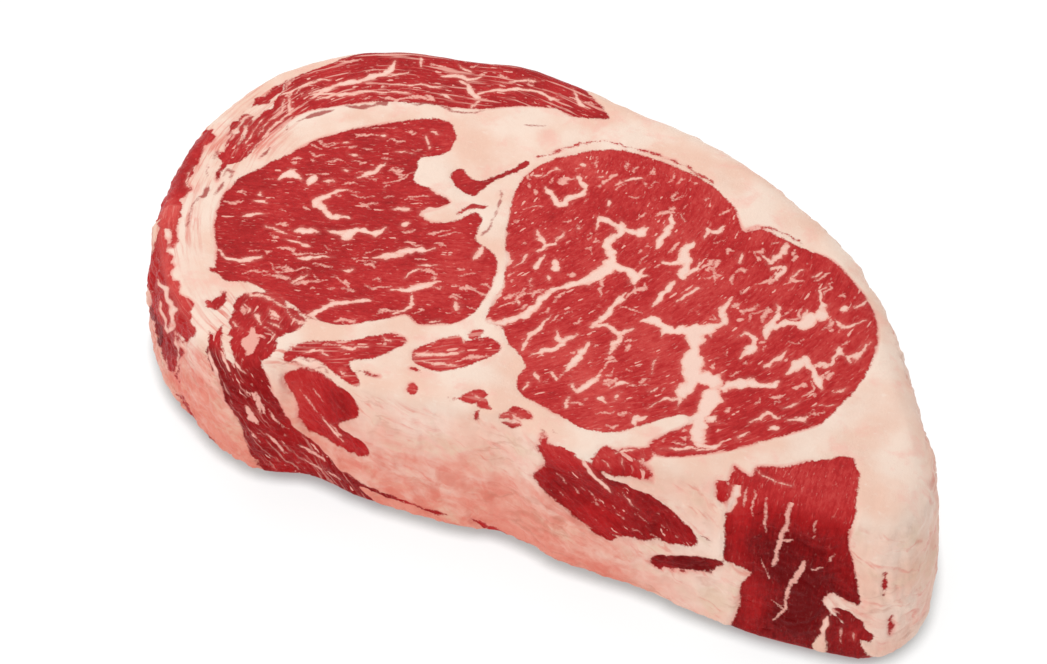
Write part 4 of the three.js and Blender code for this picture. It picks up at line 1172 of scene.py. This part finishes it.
def centred(tree, value):
    """A value around 0.5, such as a noise, moved to lie around zero."""
    return calc(tree, "SUBTRACT", value, 0.5)


def between(tree, value, low, high, to_low=0.0, to_high=1.0, kind="SMOOTHSTEP"):
    inputs = {"Value": value, "From Min": low, "From Max": high, "To Min": to_low, "To Max": to_high}
    return add(tree, "ShaderNodeMapRange", inputs, interpolation_type=kind).outputs[0]


def stretch(tree, vector, factors):
    return add(tree, "ShaderNodeVectorMath", {0: vector, 1: factors}, operation="MULTIPLY").outputs[0]


def noise(tree, vector, scale, detail=2.0, roughness=0.5, distortion=0.0):
    inputs = {"Vector": vector, "Scale": scale, "Detail": detail}
    inputs.update({"Roughness": roughness, "Distortion": distortion})
    return add(tree, "ShaderNodeTexNoise", inputs).outputs[0]


def blend(tree, factor, first, second):
    inputs = {0: factor, 6: first, 7: second}
    return add(tree, "ShaderNodeMix", inputs, data_type="RGBA").outputs[2]


def paint(red, green, blue):
    """A colour from its 0-255 screen values."""
    screen = (red, green, blue)
    return (*[((v / 255 + 0.055) / 1.055) ** 2.4 if v > 10 else v / 255 / 12.92 for v in screen], 1.0)


# %% [markdown]
# ## Relief
# Meat is never flat: fat stands a little proud of the lean that has lost water, bundles of fibres
# swell, and the wall is combed downwards by the knife. A Geometry Nodes tree moves every vertex of
# the dense skin along its normal by a sum of such terms, with a named input for each size.

# %% Creases
CREASE_STRETCH = (0.05, 0.05, 0.11)


def creases(tree, place):
    """Thin winding creases: places where a smooth noise crosses its middle value, here and there."""
    field = noise(tree, stretch(tree, place, CREASE_STRETCH), 1.0, 3.0, 0.55, 0.5)
    away = calc(tree, "ABSOLUTE", centred(tree, field))
    here = between(tree, noise(tree, place, 0.045, 2.0), 0.48, 0.62)
    return times(tree, between(tree, away, 0.0, 0.035, 1.0, 0.0), here)


# %% The terms of the relief
RELIEF_SIZES = {
    "Lumps": 0.6, "Folds": 1.3, "Fat proud": 0.24, "Bundles": 0.2, "Combing": 0.5, "Creases": 0.3,
    "Wrinkles": 0.8, "Grit": 0.08,
}


def stored(tree, name, kind="FLOAT"):
    return add(tree, "GeometryNodeInputNamedAttribute", {"Name": name}, data_type=kind).outputs[0]


def relief_terms(tree, place, height, source):
    """The terms, in millimetres, by which a point of the skin moves along its normal."""
    side, grain = stored(tree, "side"), stored(tree, "grain_mm", "FLOAT_VECTOR")
    seam = calc(tree, "MAXIMUM", stored(tree, "seam_mm"), -0.6)
    inside = calc(tree, "SUBTRACT", stored(tree, "lean_mm"), seam)
    fatness = between(tree, inside, -0.5, 0.7, 1.0, 0.0)
    lumps = times(tree, centred(tree, noise(tree, place, 0.075, 1.0)), source["Lumps"])
    lumps = times(tree, lumps, 2.4)
    proud = times(tree, fatness, source["Fat proud"])
    proud = times(tree, proud, plus(tree, 1.0, times(tree, side, 1.4)))
    folds = noise(tree, stretch(tree, place, (0.075, 0.075, 0.05)), 1.0, 3.0, 0.55, 1.6)
    folds = times(tree, times(tree, calc(tree, "SUBTRACT", folds, 0.57), source["Folds"]), side)
    folds = times(tree, folds, between(tree, height, 2.0, 16.0, 0.5, 2.4))
    bundles = noise(tree, stretch(tree, grain, (0.16, 0.75, 0.12)), 1.0, 2.0)
    bundles = times(tree, centred(tree, bundles), source["Bundles"])
    bundles = times(tree, bundles, plus(tree, 1.0, times(tree, side, 3.0)))
    combing = noise(tree, stretch(tree, place, (0.32, 0.32, 0.05)), 1.0, 3.0, 0.55)
    combing = times(tree, times(tree, centred(tree, combing), source["Combing"]), side)
    combing = times(tree, combing, 2.2)
    folded = times(tree, times(tree, creases(tree, place), side), source["Creases"])
    folded = times(tree, folded, -1.0)
    flush = stored(tree, "flush")
    wrinkles = times(tree, centred(tree, noise(tree, place, 0.26, 3.0, 0.6, 1.2)), source["Wrinkles"])
    wrinkles = times(tree, wrinkles, times(tree, flush, flush))
    grit = times(tree, centred(tree, noise(tree, place, 1.1, 2.0)), source["Grit"])
    return lumps, proud, folds, bundles, combing, folded, wrinkles, grit


# %% The relief tree
def group_input(tree, name, kind, value=None):
    """Adds a named input to the tree and returns the identifier that a modifier sets it by."""
    socket = tree.interface.new_socket(name, in_out="INPUT", socket_type=kind)
    if value is not None:
        socket.default_value = value
    return socket.identifier


def relief_tree():
    """Moves the skin by the sum of the terms, and gives it its finish."""
    tree = bpy.data.node_groups.new("meat_relief", "GeometryNodeTree")
    keys = {"Skin": group_input(tree, "Skin", "NodeSocketGeometry")}
    for name, value in RELIEF_SIZES.items():
        keys[name] = group_input(tree, name, "NodeSocketFloat", value)
    keys["Finish"] = group_input(tree, "Finish", "NodeSocketMaterial")
    tree.interface.new_socket("Skin", in_out="OUTPUT", socket_type="NodeSocketGeometry")
    source = tree.nodes.new("NodeGroupInput").outputs
    place = tree.nodes.new("GeometryNodeInputPosition").outputs[0]
    height = add(tree, "ShaderNodeSeparateXYZ", {0: place}).outputs[2]
    total, *others = relief_terms(tree, place, height, source)
    for part in others:
        total = plus(tree, total, part)
    total = times(tree, total, between(tree, height, 0.3, 3.0))
    normal = tree.nodes.new("GeometryNodeInputNormal").outputs[0]
    offset = add(tree, "ShaderNodeVectorMath", {0: normal, "Scale": total}, operation="SCALE").outputs[0]
    moved = add(tree, "GeometryNodeSetPosition", {"Geometry": source["Skin"], "Offset": offset})
    solid = add(tree, "GeometryNodeRealizeInstances", {"Geometry": moved.outputs[0]})
    skin_and_finish = {"Geometry": solid.outputs[0], "Material": source["Finish"]}
    dressed = add(tree, "GeometryNodeSetMaterial", skin_and_finish)
    add(tree, "NodeGroupOutput", {0: dressed.outputs[0]})
    return tree, keys


relief, relief_keys = relief_tree()
print("relief tree:", len(relief.nodes), "nodes")


# %% [markdown]
# ## The finish of the meat
# Lean, fat, seam and vein meet on one surface, and their borders are torn and not ruled. So one
# material covers every piece: it reads how deep a point lies in each tissue, roughens that value with
# noise, and only then decides on a colour. The border of the colour wanders off the border of the
# piece: by a fraction of a millimetre in most places, and by up to four where scraps lie over it.

# %% Colours of the tissues
LEAN_LIGHT = paint(214, 84, 78)
LEAN_MAIN = paint(186, 44, 45)
LEAN_LOW = paint(108, 6, 9)
FLECK_PINK = paint(240, 160, 146)
FLECK_CREAM = paint(242, 178, 163)
SEAM_PINK = paint(240, 178, 162)
SEAM_CREAM = paint(244, 208, 193)
FAT_CREAM = paint(243, 219, 203)
FAT_WARM = paint(238, 198, 178)
FAT_FLUSHED = paint(228, 146, 128)
FAT_PINK = paint(243, 184, 170)
FAT_WHITE = paint(246, 228, 214)
VEIN_BROWN = paint(166, 60, 56)
STREAK_PINK = paint(222, 118, 104)
FAT_SORE = paint(217, 116, 98)
FAT_DULL = paint(226, 196, 170)
FRINGE_PINK = paint(232, 138, 128)
WET_SHADED_RED = paint(178, 8, 14)
CREASE_SHADE_BROWN = paint(196, 128, 108)
WALL_SLANT = math.radians(-28)


def attribute(tree, name, output="Fac"):
    return add(tree, "ShaderNodeAttribute", attribute_name=name).outputs[output]


def millimetres(tree):
    """Object coordinates in millimetres."""
    place = add(tree, "ShaderNodeTexCoord").outputs["Object"]
    return add(tree, "ShaderNodeMapping", {"Vector": place, "Scale": (1000, 1000, 1000)}).outputs[0]


def torn(tree, value, place, coarse, fine):
    """A distance whose border is torn by coarse and fine noise, in millimetres."""
    rough = times(tree, centred(tree, noise(tree, place, 0.4, 2.0)), coarse)
    small = times(tree, centred(tree, noise(tree, place, 1.9, 2.0)), fine)
    return plus(tree, value, plus(tree, rough, small))


def combed(tree, value, grain, size):
    """A distance whose border runs out in teeth along the fibres."""
    teeth = centred(tree, noise(tree, stretch(tree, grain, (0.28, 1.5, 0.3)), 1.0, 2.0))
    return plus(tree, value, times(tree, teeth, size))


# %% Colour of the lean
def lean_colour(tree, place, grain):
    broad = centred(tree, noise(tree, place, 0.09, 3.0))
    fibres = centred(tree, noise(tree, stretch(tree, grain, (0.16, 1.5, 0.16)), 1.0, 3.0, 0.6))
    mottle = centred(tree, noise(tree, stretch(tree, grain, (0.55, 1.0, 0.6)), 1.0, 3.0, 0.65, 0.6))
    depth = attribute(tree, "tone")
    for part, size in ((broad, 0.75), (fibres, 0.5), (mottle, 0.75)):
        depth = plus(tree, depth, times(tree, part, size))
    light = blend(tree, between(tree, depth, -0.35, 0.12, kind="LINEAR"), LEAN_LIGHT, LEAN_MAIN)
    # On the walls the lean turns a darker, deeper red: partly moist lean, partly painted shade.
    light = blend(tree, times(tree, attribute(tree, "side"), 0.55), light, WET_SHADED_RED)
    dark = blend(tree, between(tree, depth, 0.1, 0.9, kind="LINEAR"), light, LEAN_LOW)
    pale = noise(tree, stretch(tree, grain, (0.5, 1.7, 0.6)), 1.0, 2.0, 0.6, 0.4)
    pale = between(tree, pale, 0.58, 0.8, 0.0, 0.5)
    pale = times(tree, pale, calc(tree, "SUBTRACT", 1.0, times(tree, attribute(tree, "side"), 0.75)))
    return blend(tree, pale, dark, FLECK_PINK)


# %% Colour of the fat
def fat_colour(tree, place):
    broad = noise(tree, place, 0.06, 3.0)
    warm = blend(tree, between(tree, broad, 0.36, 0.66), FAT_CREAM, FAT_WARM)
    blotch = noise(tree, place, 0.16, 4.0, 0.6, 0.3)
    warm = blend(tree, between(tree, blotch, 0.5, 0.72, 0.0, 0.5), warm, FAT_PINK)
    threads = noise(tree, stretch(tree, place, (0.5, 0.9, 0.35)), 1.0, 4.0, 0.65, 0.4)
    warm = blend(tree, between(tree, threads, 0.55, 0.8, 0.0, 0.5), warm, FAT_WHITE)
    drift = noise(tree, stretch(tree, place, (0.1, 0.1, 0.14)), 1.0, 4.0, 0.6)
    flush = times(tree, attribute(tree, "flush"), between(tree, drift, 0.3, 0.7, 0.35, 1.35, "LINEAR"))
    flushed = blend(tree, times(tree, flush, 1.0, clamp=True), warm, FAT_FLUSHED)
    along = attribute(tree, "rim_mm", "Vector")
    streaks = noise(tree, stretch(tree, along, (0.06, 0.85, 0.3)), 1.0, 4.0, 0.6)
    streaks = between(tree, streaks, 0.47, 0.66, 0.0, 0.9)
    flushed = blend(tree, times(tree, streaks, attribute(tree, "fibrous")), flushed, STREAK_PINK)
    dull = noise(tree, stretch(tree, place, (0.07, 0.07, 0.11)), 1.0, 5.0, 0.65, 0.6)
    dull = between(tree, dull, 0.5, 0.72, 0.0, 0.6)
    flushed = blend(tree, times(tree, dull, attribute(tree, "side")), flushed, FAT_DULL)
    slanted = add(tree, "ShaderNodeMapping", {"Vector": place, "Rotation": (0, WALL_SLANT, 0)}).outputs[0]
    wall_lines = noise(tree, stretch(tree, slanted, (0.09, 0.12, 0.34)), 1.0, 5.0, 0.65, 0.8)
    wall_lines = between(tree, wall_lines, 0.52, 0.72, 0.0, 0.6)
    flushed = blend(tree, times(tree, wall_lines, attribute(tree, "side")), flushed, STREAK_PINK)
    sore = times(tree, calc(tree, "SUBTRACT", attribute(tree, "flush"), 0.42), 2.0, clamp=True)
    sore = times(tree, sore, between(tree, noise(tree, place, 0.17, 4.0, 0.6, 0.8), 0.4, 0.68, 0.05, 0.7))
    flushed = blend(tree, sore, flushed, FAT_SORE)
    # Brown along the creases of the wall fat: partly their own colour, partly painted shade in them.
    folded = times(tree, creases(tree, place), times(tree, attribute(tree, "side"), 0.35))
    return blend(tree, folded, flushed, CREASE_SHADE_BROWN)


# %% Fine flecks of fat along the fibres
def dashes(tree, grain, length, width, some, most):
    """Short dashes along the fibres: one in each cell of a stretched cell pattern, of random size."""
    sway = noise(tree, stretch(tree, grain, (0.5, 0.5, 0.5)), 1.0, 2.0)
    sway = times(tree, centred(tree, sway), 1.1)
    cells = stretch(tree, grain, (1 / length, 1 / width, 0.12))
    cells = add(tree, "ShaderNodeVectorMath", {0: cells, 1: sway}, operation="ADD").outputs[0]
    pattern = add(tree, "ShaderNodeTexVoronoi", {"Vector": cells, "Scale": 1.0})
    luck = add(tree, "ShaderNodeSeparateColor", {0: pattern.outputs["Color"]}).outputs[0]
    radius = between(tree, plus(tree, luck, times(tree, some, 0.35)), 0.45, 1.25, -0.08, most)
    inside = calc(tree, "SUBTRACT", radius, pattern.outputs["Distance"])
    return between(tree, inside, -0.03, 0.09)


def fleck_share(tree, grain):
    some = attribute(tree, "fleck")
    long_ones = times(tree, dashes(tree, grain, 4.8, 1.05, some, 0.42), 0.9)
    short_ones = times(tree, dashes(tree, grain, 2.4, 1.0, some, 0.38), 0.3)
    strands = noise(tree, stretch(tree, grain, (0.06, 0.8, 0.1)), 1.0, 3.0, 0.5, 0.3)
    strands = between(tree, strands, 0.55, 0.66)
    strands = times(tree, strands, attribute(tree, "strand"))
    return calc(tree, "MAXIMUM", strands, calc(tree, "MAXIMUM", long_ones, short_ones))


# %% Lean, seam, fat and vein in one colour
def tissue_colour(tree, place, grain):
    """The colour of the surface, and how much of it is lean and how much seam."""
    calm = calc(tree, "SUBTRACT", 1.0, times(tree, attribute(tree, "side"), 0.6))
    leanness = between(tree, torn(tree, attribute(tree, "lean_mm"), place, 1.4, 1.0), -0.3, 0.3)
    seam = combed(tree, torn(tree, attribute(tree, "seam_mm"), place, 0.7, 0.6), grain, 0.7)
    seam = plus(tree, attribute(tree, "seam_mm"),
                times(tree, calc(tree, "SUBTRACT", seam, attribute(tree, "seam_mm")), calm))
    seamness = between(tree, seam, -0.16, 0.24)
    halo = times(tree, between(tree, seam, -1.1, 0.1, 0.0, 0.14), calm)
    cream = blend(tree, between(tree, seam, 0.0, 0.9), SEAM_PINK, SEAM_CREAM)
    speck = between(tree, torn(tree, attribute(tree, "speck_mm"), place, 0.5, 0.9), -0.25, 0.3, 0.0, 0.9)
    flecks = calc(tree, "MAXIMUM", fleck_share(tree, grain), speck)
    lean = blend(tree, halo, lean_colour(tree, place, grain), FLECK_PINK)
    lean = blend(tree, flecks, lean, FLECK_CREAM)
    lean = blend(tree, seamness, lean, cream)
    fringe = between(tree, attribute(tree, "lean_mm"), -1.0, -0.1, 0.0, 0.6)
    fringe = times(tree, fringe, between(tree, noise(tree, place, 0.05, 3.0), 0.48, 0.62))
    colour = blend(tree, leanness, blend(tree, fringe, fat_colour(tree, place), FRINGE_PINK), lean)
    vein = between(tree, torn(tree, attribute(tree, "vein_mm"), place, 0.8, 0.6), -0.25, 0.4, 0.0, 0.85)
    colour = blend(tree, vein, colour, VEIN_BROWN)
    rim_shade = between(tree, calc(tree, "ABSOLUTE", attribute(tree, "lean_mm")), 0.0, 0.9, 0.1, 0.0)
    rim_shade = times(tree, rim_shade, leanness)
    return blend(tree, rim_shade, colour, LEAN_LOW), leanness, seamness


# %% The whole material
def meat_finish(name):
    finish = bpy.data.materials.new(name)
    finish.use_nodes = True
    tree = finish.node_tree
    shader = tree.nodes["Principled BSDF"]
    place, grain = millimetres(tree), attribute(tree, "grain_mm", "Vector")
    colour, leanness, seamness = tissue_colour(tree, place, grain)
    tree.links.new(colour, shader.inputs["Base Color"])
    gloss = noise(tree, place, 0.5, 3.0)
    wet = times(tree, leanness, calc(tree, "SUBTRACT", 1.0, seamness))
    rough = calc(tree, "SUBTRACT", between(tree, gloss, 0.3, 0.7, 0.3, 0.5), times(tree, wet, 0.06))
    tree.links.new(rough, shader.inputs["Roughness"])
    fibres = noise(tree, stretch(tree, grain, (0.3, 2.6, 0.3)), 1.0, 4.0, 0.6)
    crumbs = noise(tree, place, 1.6, 4.0, 0.6)
    height = plus(tree, times(tree, fibres, wet), times(tree, crumbs, 0.7))
    bump = add(tree, "ShaderNodeBump", {"Height": height, "Strength": 0.35, "Distance": 0.0006})
    tree.links.new(bump.outputs[0], shader.inputs["Normal"])
    shader.inputs["Specular IOR Level"].default_value = 0.045
    return finish


moist_meat = meat_finish("moist_meat")
print("meat material:", len(moist_meat.node_tree.nodes), "nodes")

# %% [markdown]
# ## The dense skin
# The relief needs points that lie evenly and close together. A voxel remesh of the form gives even
# quads of one size. The faces that carry most detail, the upper one, the long side and the left end,
# are then divided once more.

# %% Plain mesh of an object with its modifiers
def settled(thing):
    """The evaluated mesh of an object, as plain data."""
    graph = bpy.context.evaluated_depsgraph_get()
    mesh = bpy.data.meshes.new_from_object(thing.evaluated_get(graph))
    thing.modifiers.clear()
    return mesh


LEAN_VOXEL = 0.72
FAT_VOXEL = 1.13
FLAT_BELOW = 0.45
FINE_ABOVE = 2
ALL_AXES = {"use_axis_x": True, "use_axis_y": True, "use_axis_z": True}


def needs_detail(face):
    """Whether a face is on the upper face, the long side or the left end."""
    up, front, left = face.normal.z > 0.5, face.normal.y < -0.4, face.normal.x < -0.75
    return face.calc_center_median().z > FINE_ABOVE and (up or front or left)


def dense_body(name, voxel):
    """The form as an even skin with relief, in millimetres. `voxel` is the size of its quads."""
    body = object_from(name, form.data.copy())
    remesh = body.modifiers.new("even_quads", "REMESH")
    remesh.mode, remesh.voxel_size = "VOXEL", voxel
    body.data = settled(body)
    fine = bmesh.new()
    fine.from_mesh(body.data)
    edges = list({e for f in fine.faces if needs_detail(f) for e in f.edges})
    bmesh.ops.subdivide_edges(fine, edges=edges, cuts=1, use_grid_fill=True)
    bmesh.ops.smooth_vert(fine, verts=fine.verts, factor=0.5, **ALL_AXES)
    for v in fine.verts:
        if v.co.z < FLAT_BELOW:
            v.co.z = 0
    bmesh.ops.triangulate(fine, faces=[f for f in fine.faces if len(f.verts) > 4])
    fine.to_mesh(body.data)
    fine.free()
    write_values(body.data, 1)
    wrap = body.modifiers.new("relief", "NODES")
    wrap.node_group = relief
    for name, value in RELIEF_SIZES.items():
        wrap[relief_keys[name]] = value
    wrap[relief_keys["Finish"]] = moist_meat
    body.data = settled(body)
    print(name, "faces:", len(body.data.polygons))
    return body


lean_body = dense_body("lean_body", LEAN_VOXEL)
fat_body = dense_body("fat_body", FAT_VOXEL)
bpy.data.objects.remove(form)

# %% [markdown]
# ## Cutting the muscles out
# The muscles and the fat fit together without a gap, so one skin is shared out among them. Each
# muscle's own prism cuts its part out of the dense body, and what is left over is the fat.

# %% The cutting prisms
CORE_LEVELS = [(-BEYOND, 0), (12, 12), (24, 24), (36, 36), (THICKNESS + BEYOND, THICKNESS)]
LEFT_CUT = (-130, -60)
FRONT_CUT = (-30, -90)
CORNER_CUT = (-40, -90)
BOX_BACK = -30


def prism(name, rings_of_points):
    """A closed body through rings of points, its faces pointing outwards."""
    faces = ring_faces(len(rings_of_points), len(rings_of_points[0]))
    cutter = object_from(name, mesh_from(name, np.vstack(rings_of_points), faces))
    shell = bmesh.new()
    shell.from_mesh(cutter.data)
    bmesh.ops.recalc_face_normals(shell, faces=shell.faces)
    bmesh.ops.triangulate(shell, faces=shell.faces)
    shell.to_mesh(cutter.data)
    shell.free()
    return cutter


def through_prism(name):
    points, levels = THROUGH[name]
    curve = smooth_path(points, OUTLINE_STEPS)
    middle = curve.mean(0)
    rings_here = []
    for height, drift, stretched in levels:
        ring = middle + (curve - middle) * stretched + drift
        rings_here.append(np.column_stack([ring, np.full(len(ring), height)]))
    return prism(name + "_cutter", rings_here)


def side_prism(name, points, cut, left=False):
    """An outline on the long side or the left end, drawn out between the two depths of the cut."""
    curve = smooth_path(points, OUTLINE_STEPS)
    rings_here = []
    for depth in cut:
        column = np.full(len(curve), depth)
        ring = [column, curve] if left else [curve[:, 0], column, curve[:, 1]]
        rings_here.append(np.column_stack(ring))
    return prism(name + "_cutter", rings_here)


def core(depth):
    """The inner part of the steak, `depth` inside its wall and open-ended above and below."""
    rings_here = []
    for height, sample in CORE_LEVELS:
        ring = wall_ring(np.full(len(rim), sample), -depth)[::EVERY_THIRD]
        rings_here.append(ring * [1, 1, 0] + [0, 0, height])
    return prism("core", rings_here)


# %% Boolean steps
def combined(thing, other, operation):
    step = thing.modifiers.new("step", "BOOLEAN")
    step.operation, step.object, step.solver = operation, other, "MANIFOLD"
    thing.data = settled(thing)
    return thing


def pocket_prism(name):
    points, depth = POCKETS[name]
    left = name == "end_strip_muscle"
    cutter = side_prism(name, points, LEFT_CUT if left else FRONT_CUT, left)
    inner = core(depth)
    combined(cutter, inner, "DIFFERENCE")
    bpy.data.objects.remove(inner)
    return cutter


cutters = {name: through_prism(name) for name in THROUGH}
corner_side = side_prism("corner_side", CORNER_FACE, CORNER_CUT)
combined(cutters["corner_muscle"], corner_side, "INTERSECT")
bpy.data.objects.remove(corner_side)
cutters.update({name: pocket_prism(name) for name in POCKETS})
print("cutters:", {name: len(c.data.polygons) for name, c in cutters.items()})

# %% Sharing the skin out
def copy_of(thing, name):
    return object_from(name, thing.data.copy())


front_box = prism("front_box", [
    np.array([(-130, -90, z), (130, -90, z), (130, BOX_BACK, z), (-130, BOX_BACK, z)], float)
    for z in (-20, 80)
])
front_body = combined(copy_of(lean_body, "front_body"), front_box, "INTERSECT")
taken, pieces = None, {}
for name, cutter in cutters.items():
    at_front = max(corner[1] for corner in cutter.bound_box) < BOX_BACK - 1
    piece = combined(copy_of(front_body if at_front else lean_body, name + "_meat"), cutter, "INTERSECT")
    if taken:
        combined(piece, taken, "DIFFERENCE")
        combined(taken, cutter, "UNION")
    else:
        taken = copy_of(cutter, "taken")
    pieces[name] = piece
pieces["fat"] = combined(fat_body, taken, "DIFFERENCE")
fat_body.name = "fat_meat"
for helper in (lean_body, front_body, front_box, taken, *cutters.values()):
    bpy.data.objects.remove(helper)
print("faces a piece:", {name: len(p.data.polygons) for name, p in pieces.items()})

# %% [markdown]
# ## Handing the pieces over
# Each piece goes to its place in metres, gets its values once more on its final points, and takes
# the place of the CAD solid of its name.

# %% Metres, values, shading and the frame
SHARP_FROM = math.radians(50)
for name, piece in pieces.items():
    mesh = piece.data
    mesh.transform(Matrix.Scale(MM, 4) @ Matrix.Translation((-MIDDLE[0], -MIDDLE[1], 0)))
    write_values(mesh, 1 / MM)
    mesh.shade_smooth()
    mesh.set_sharp_from_angle(angle=SHARP_FROM)
    mesh.materials.clear()
    mesh.materials.append(moist_meat)
    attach(piece, "root")
    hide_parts(name)
    mesh.calc_loop_triangles()
    print(name, "triangles:", len(mesh.loop_triangles))
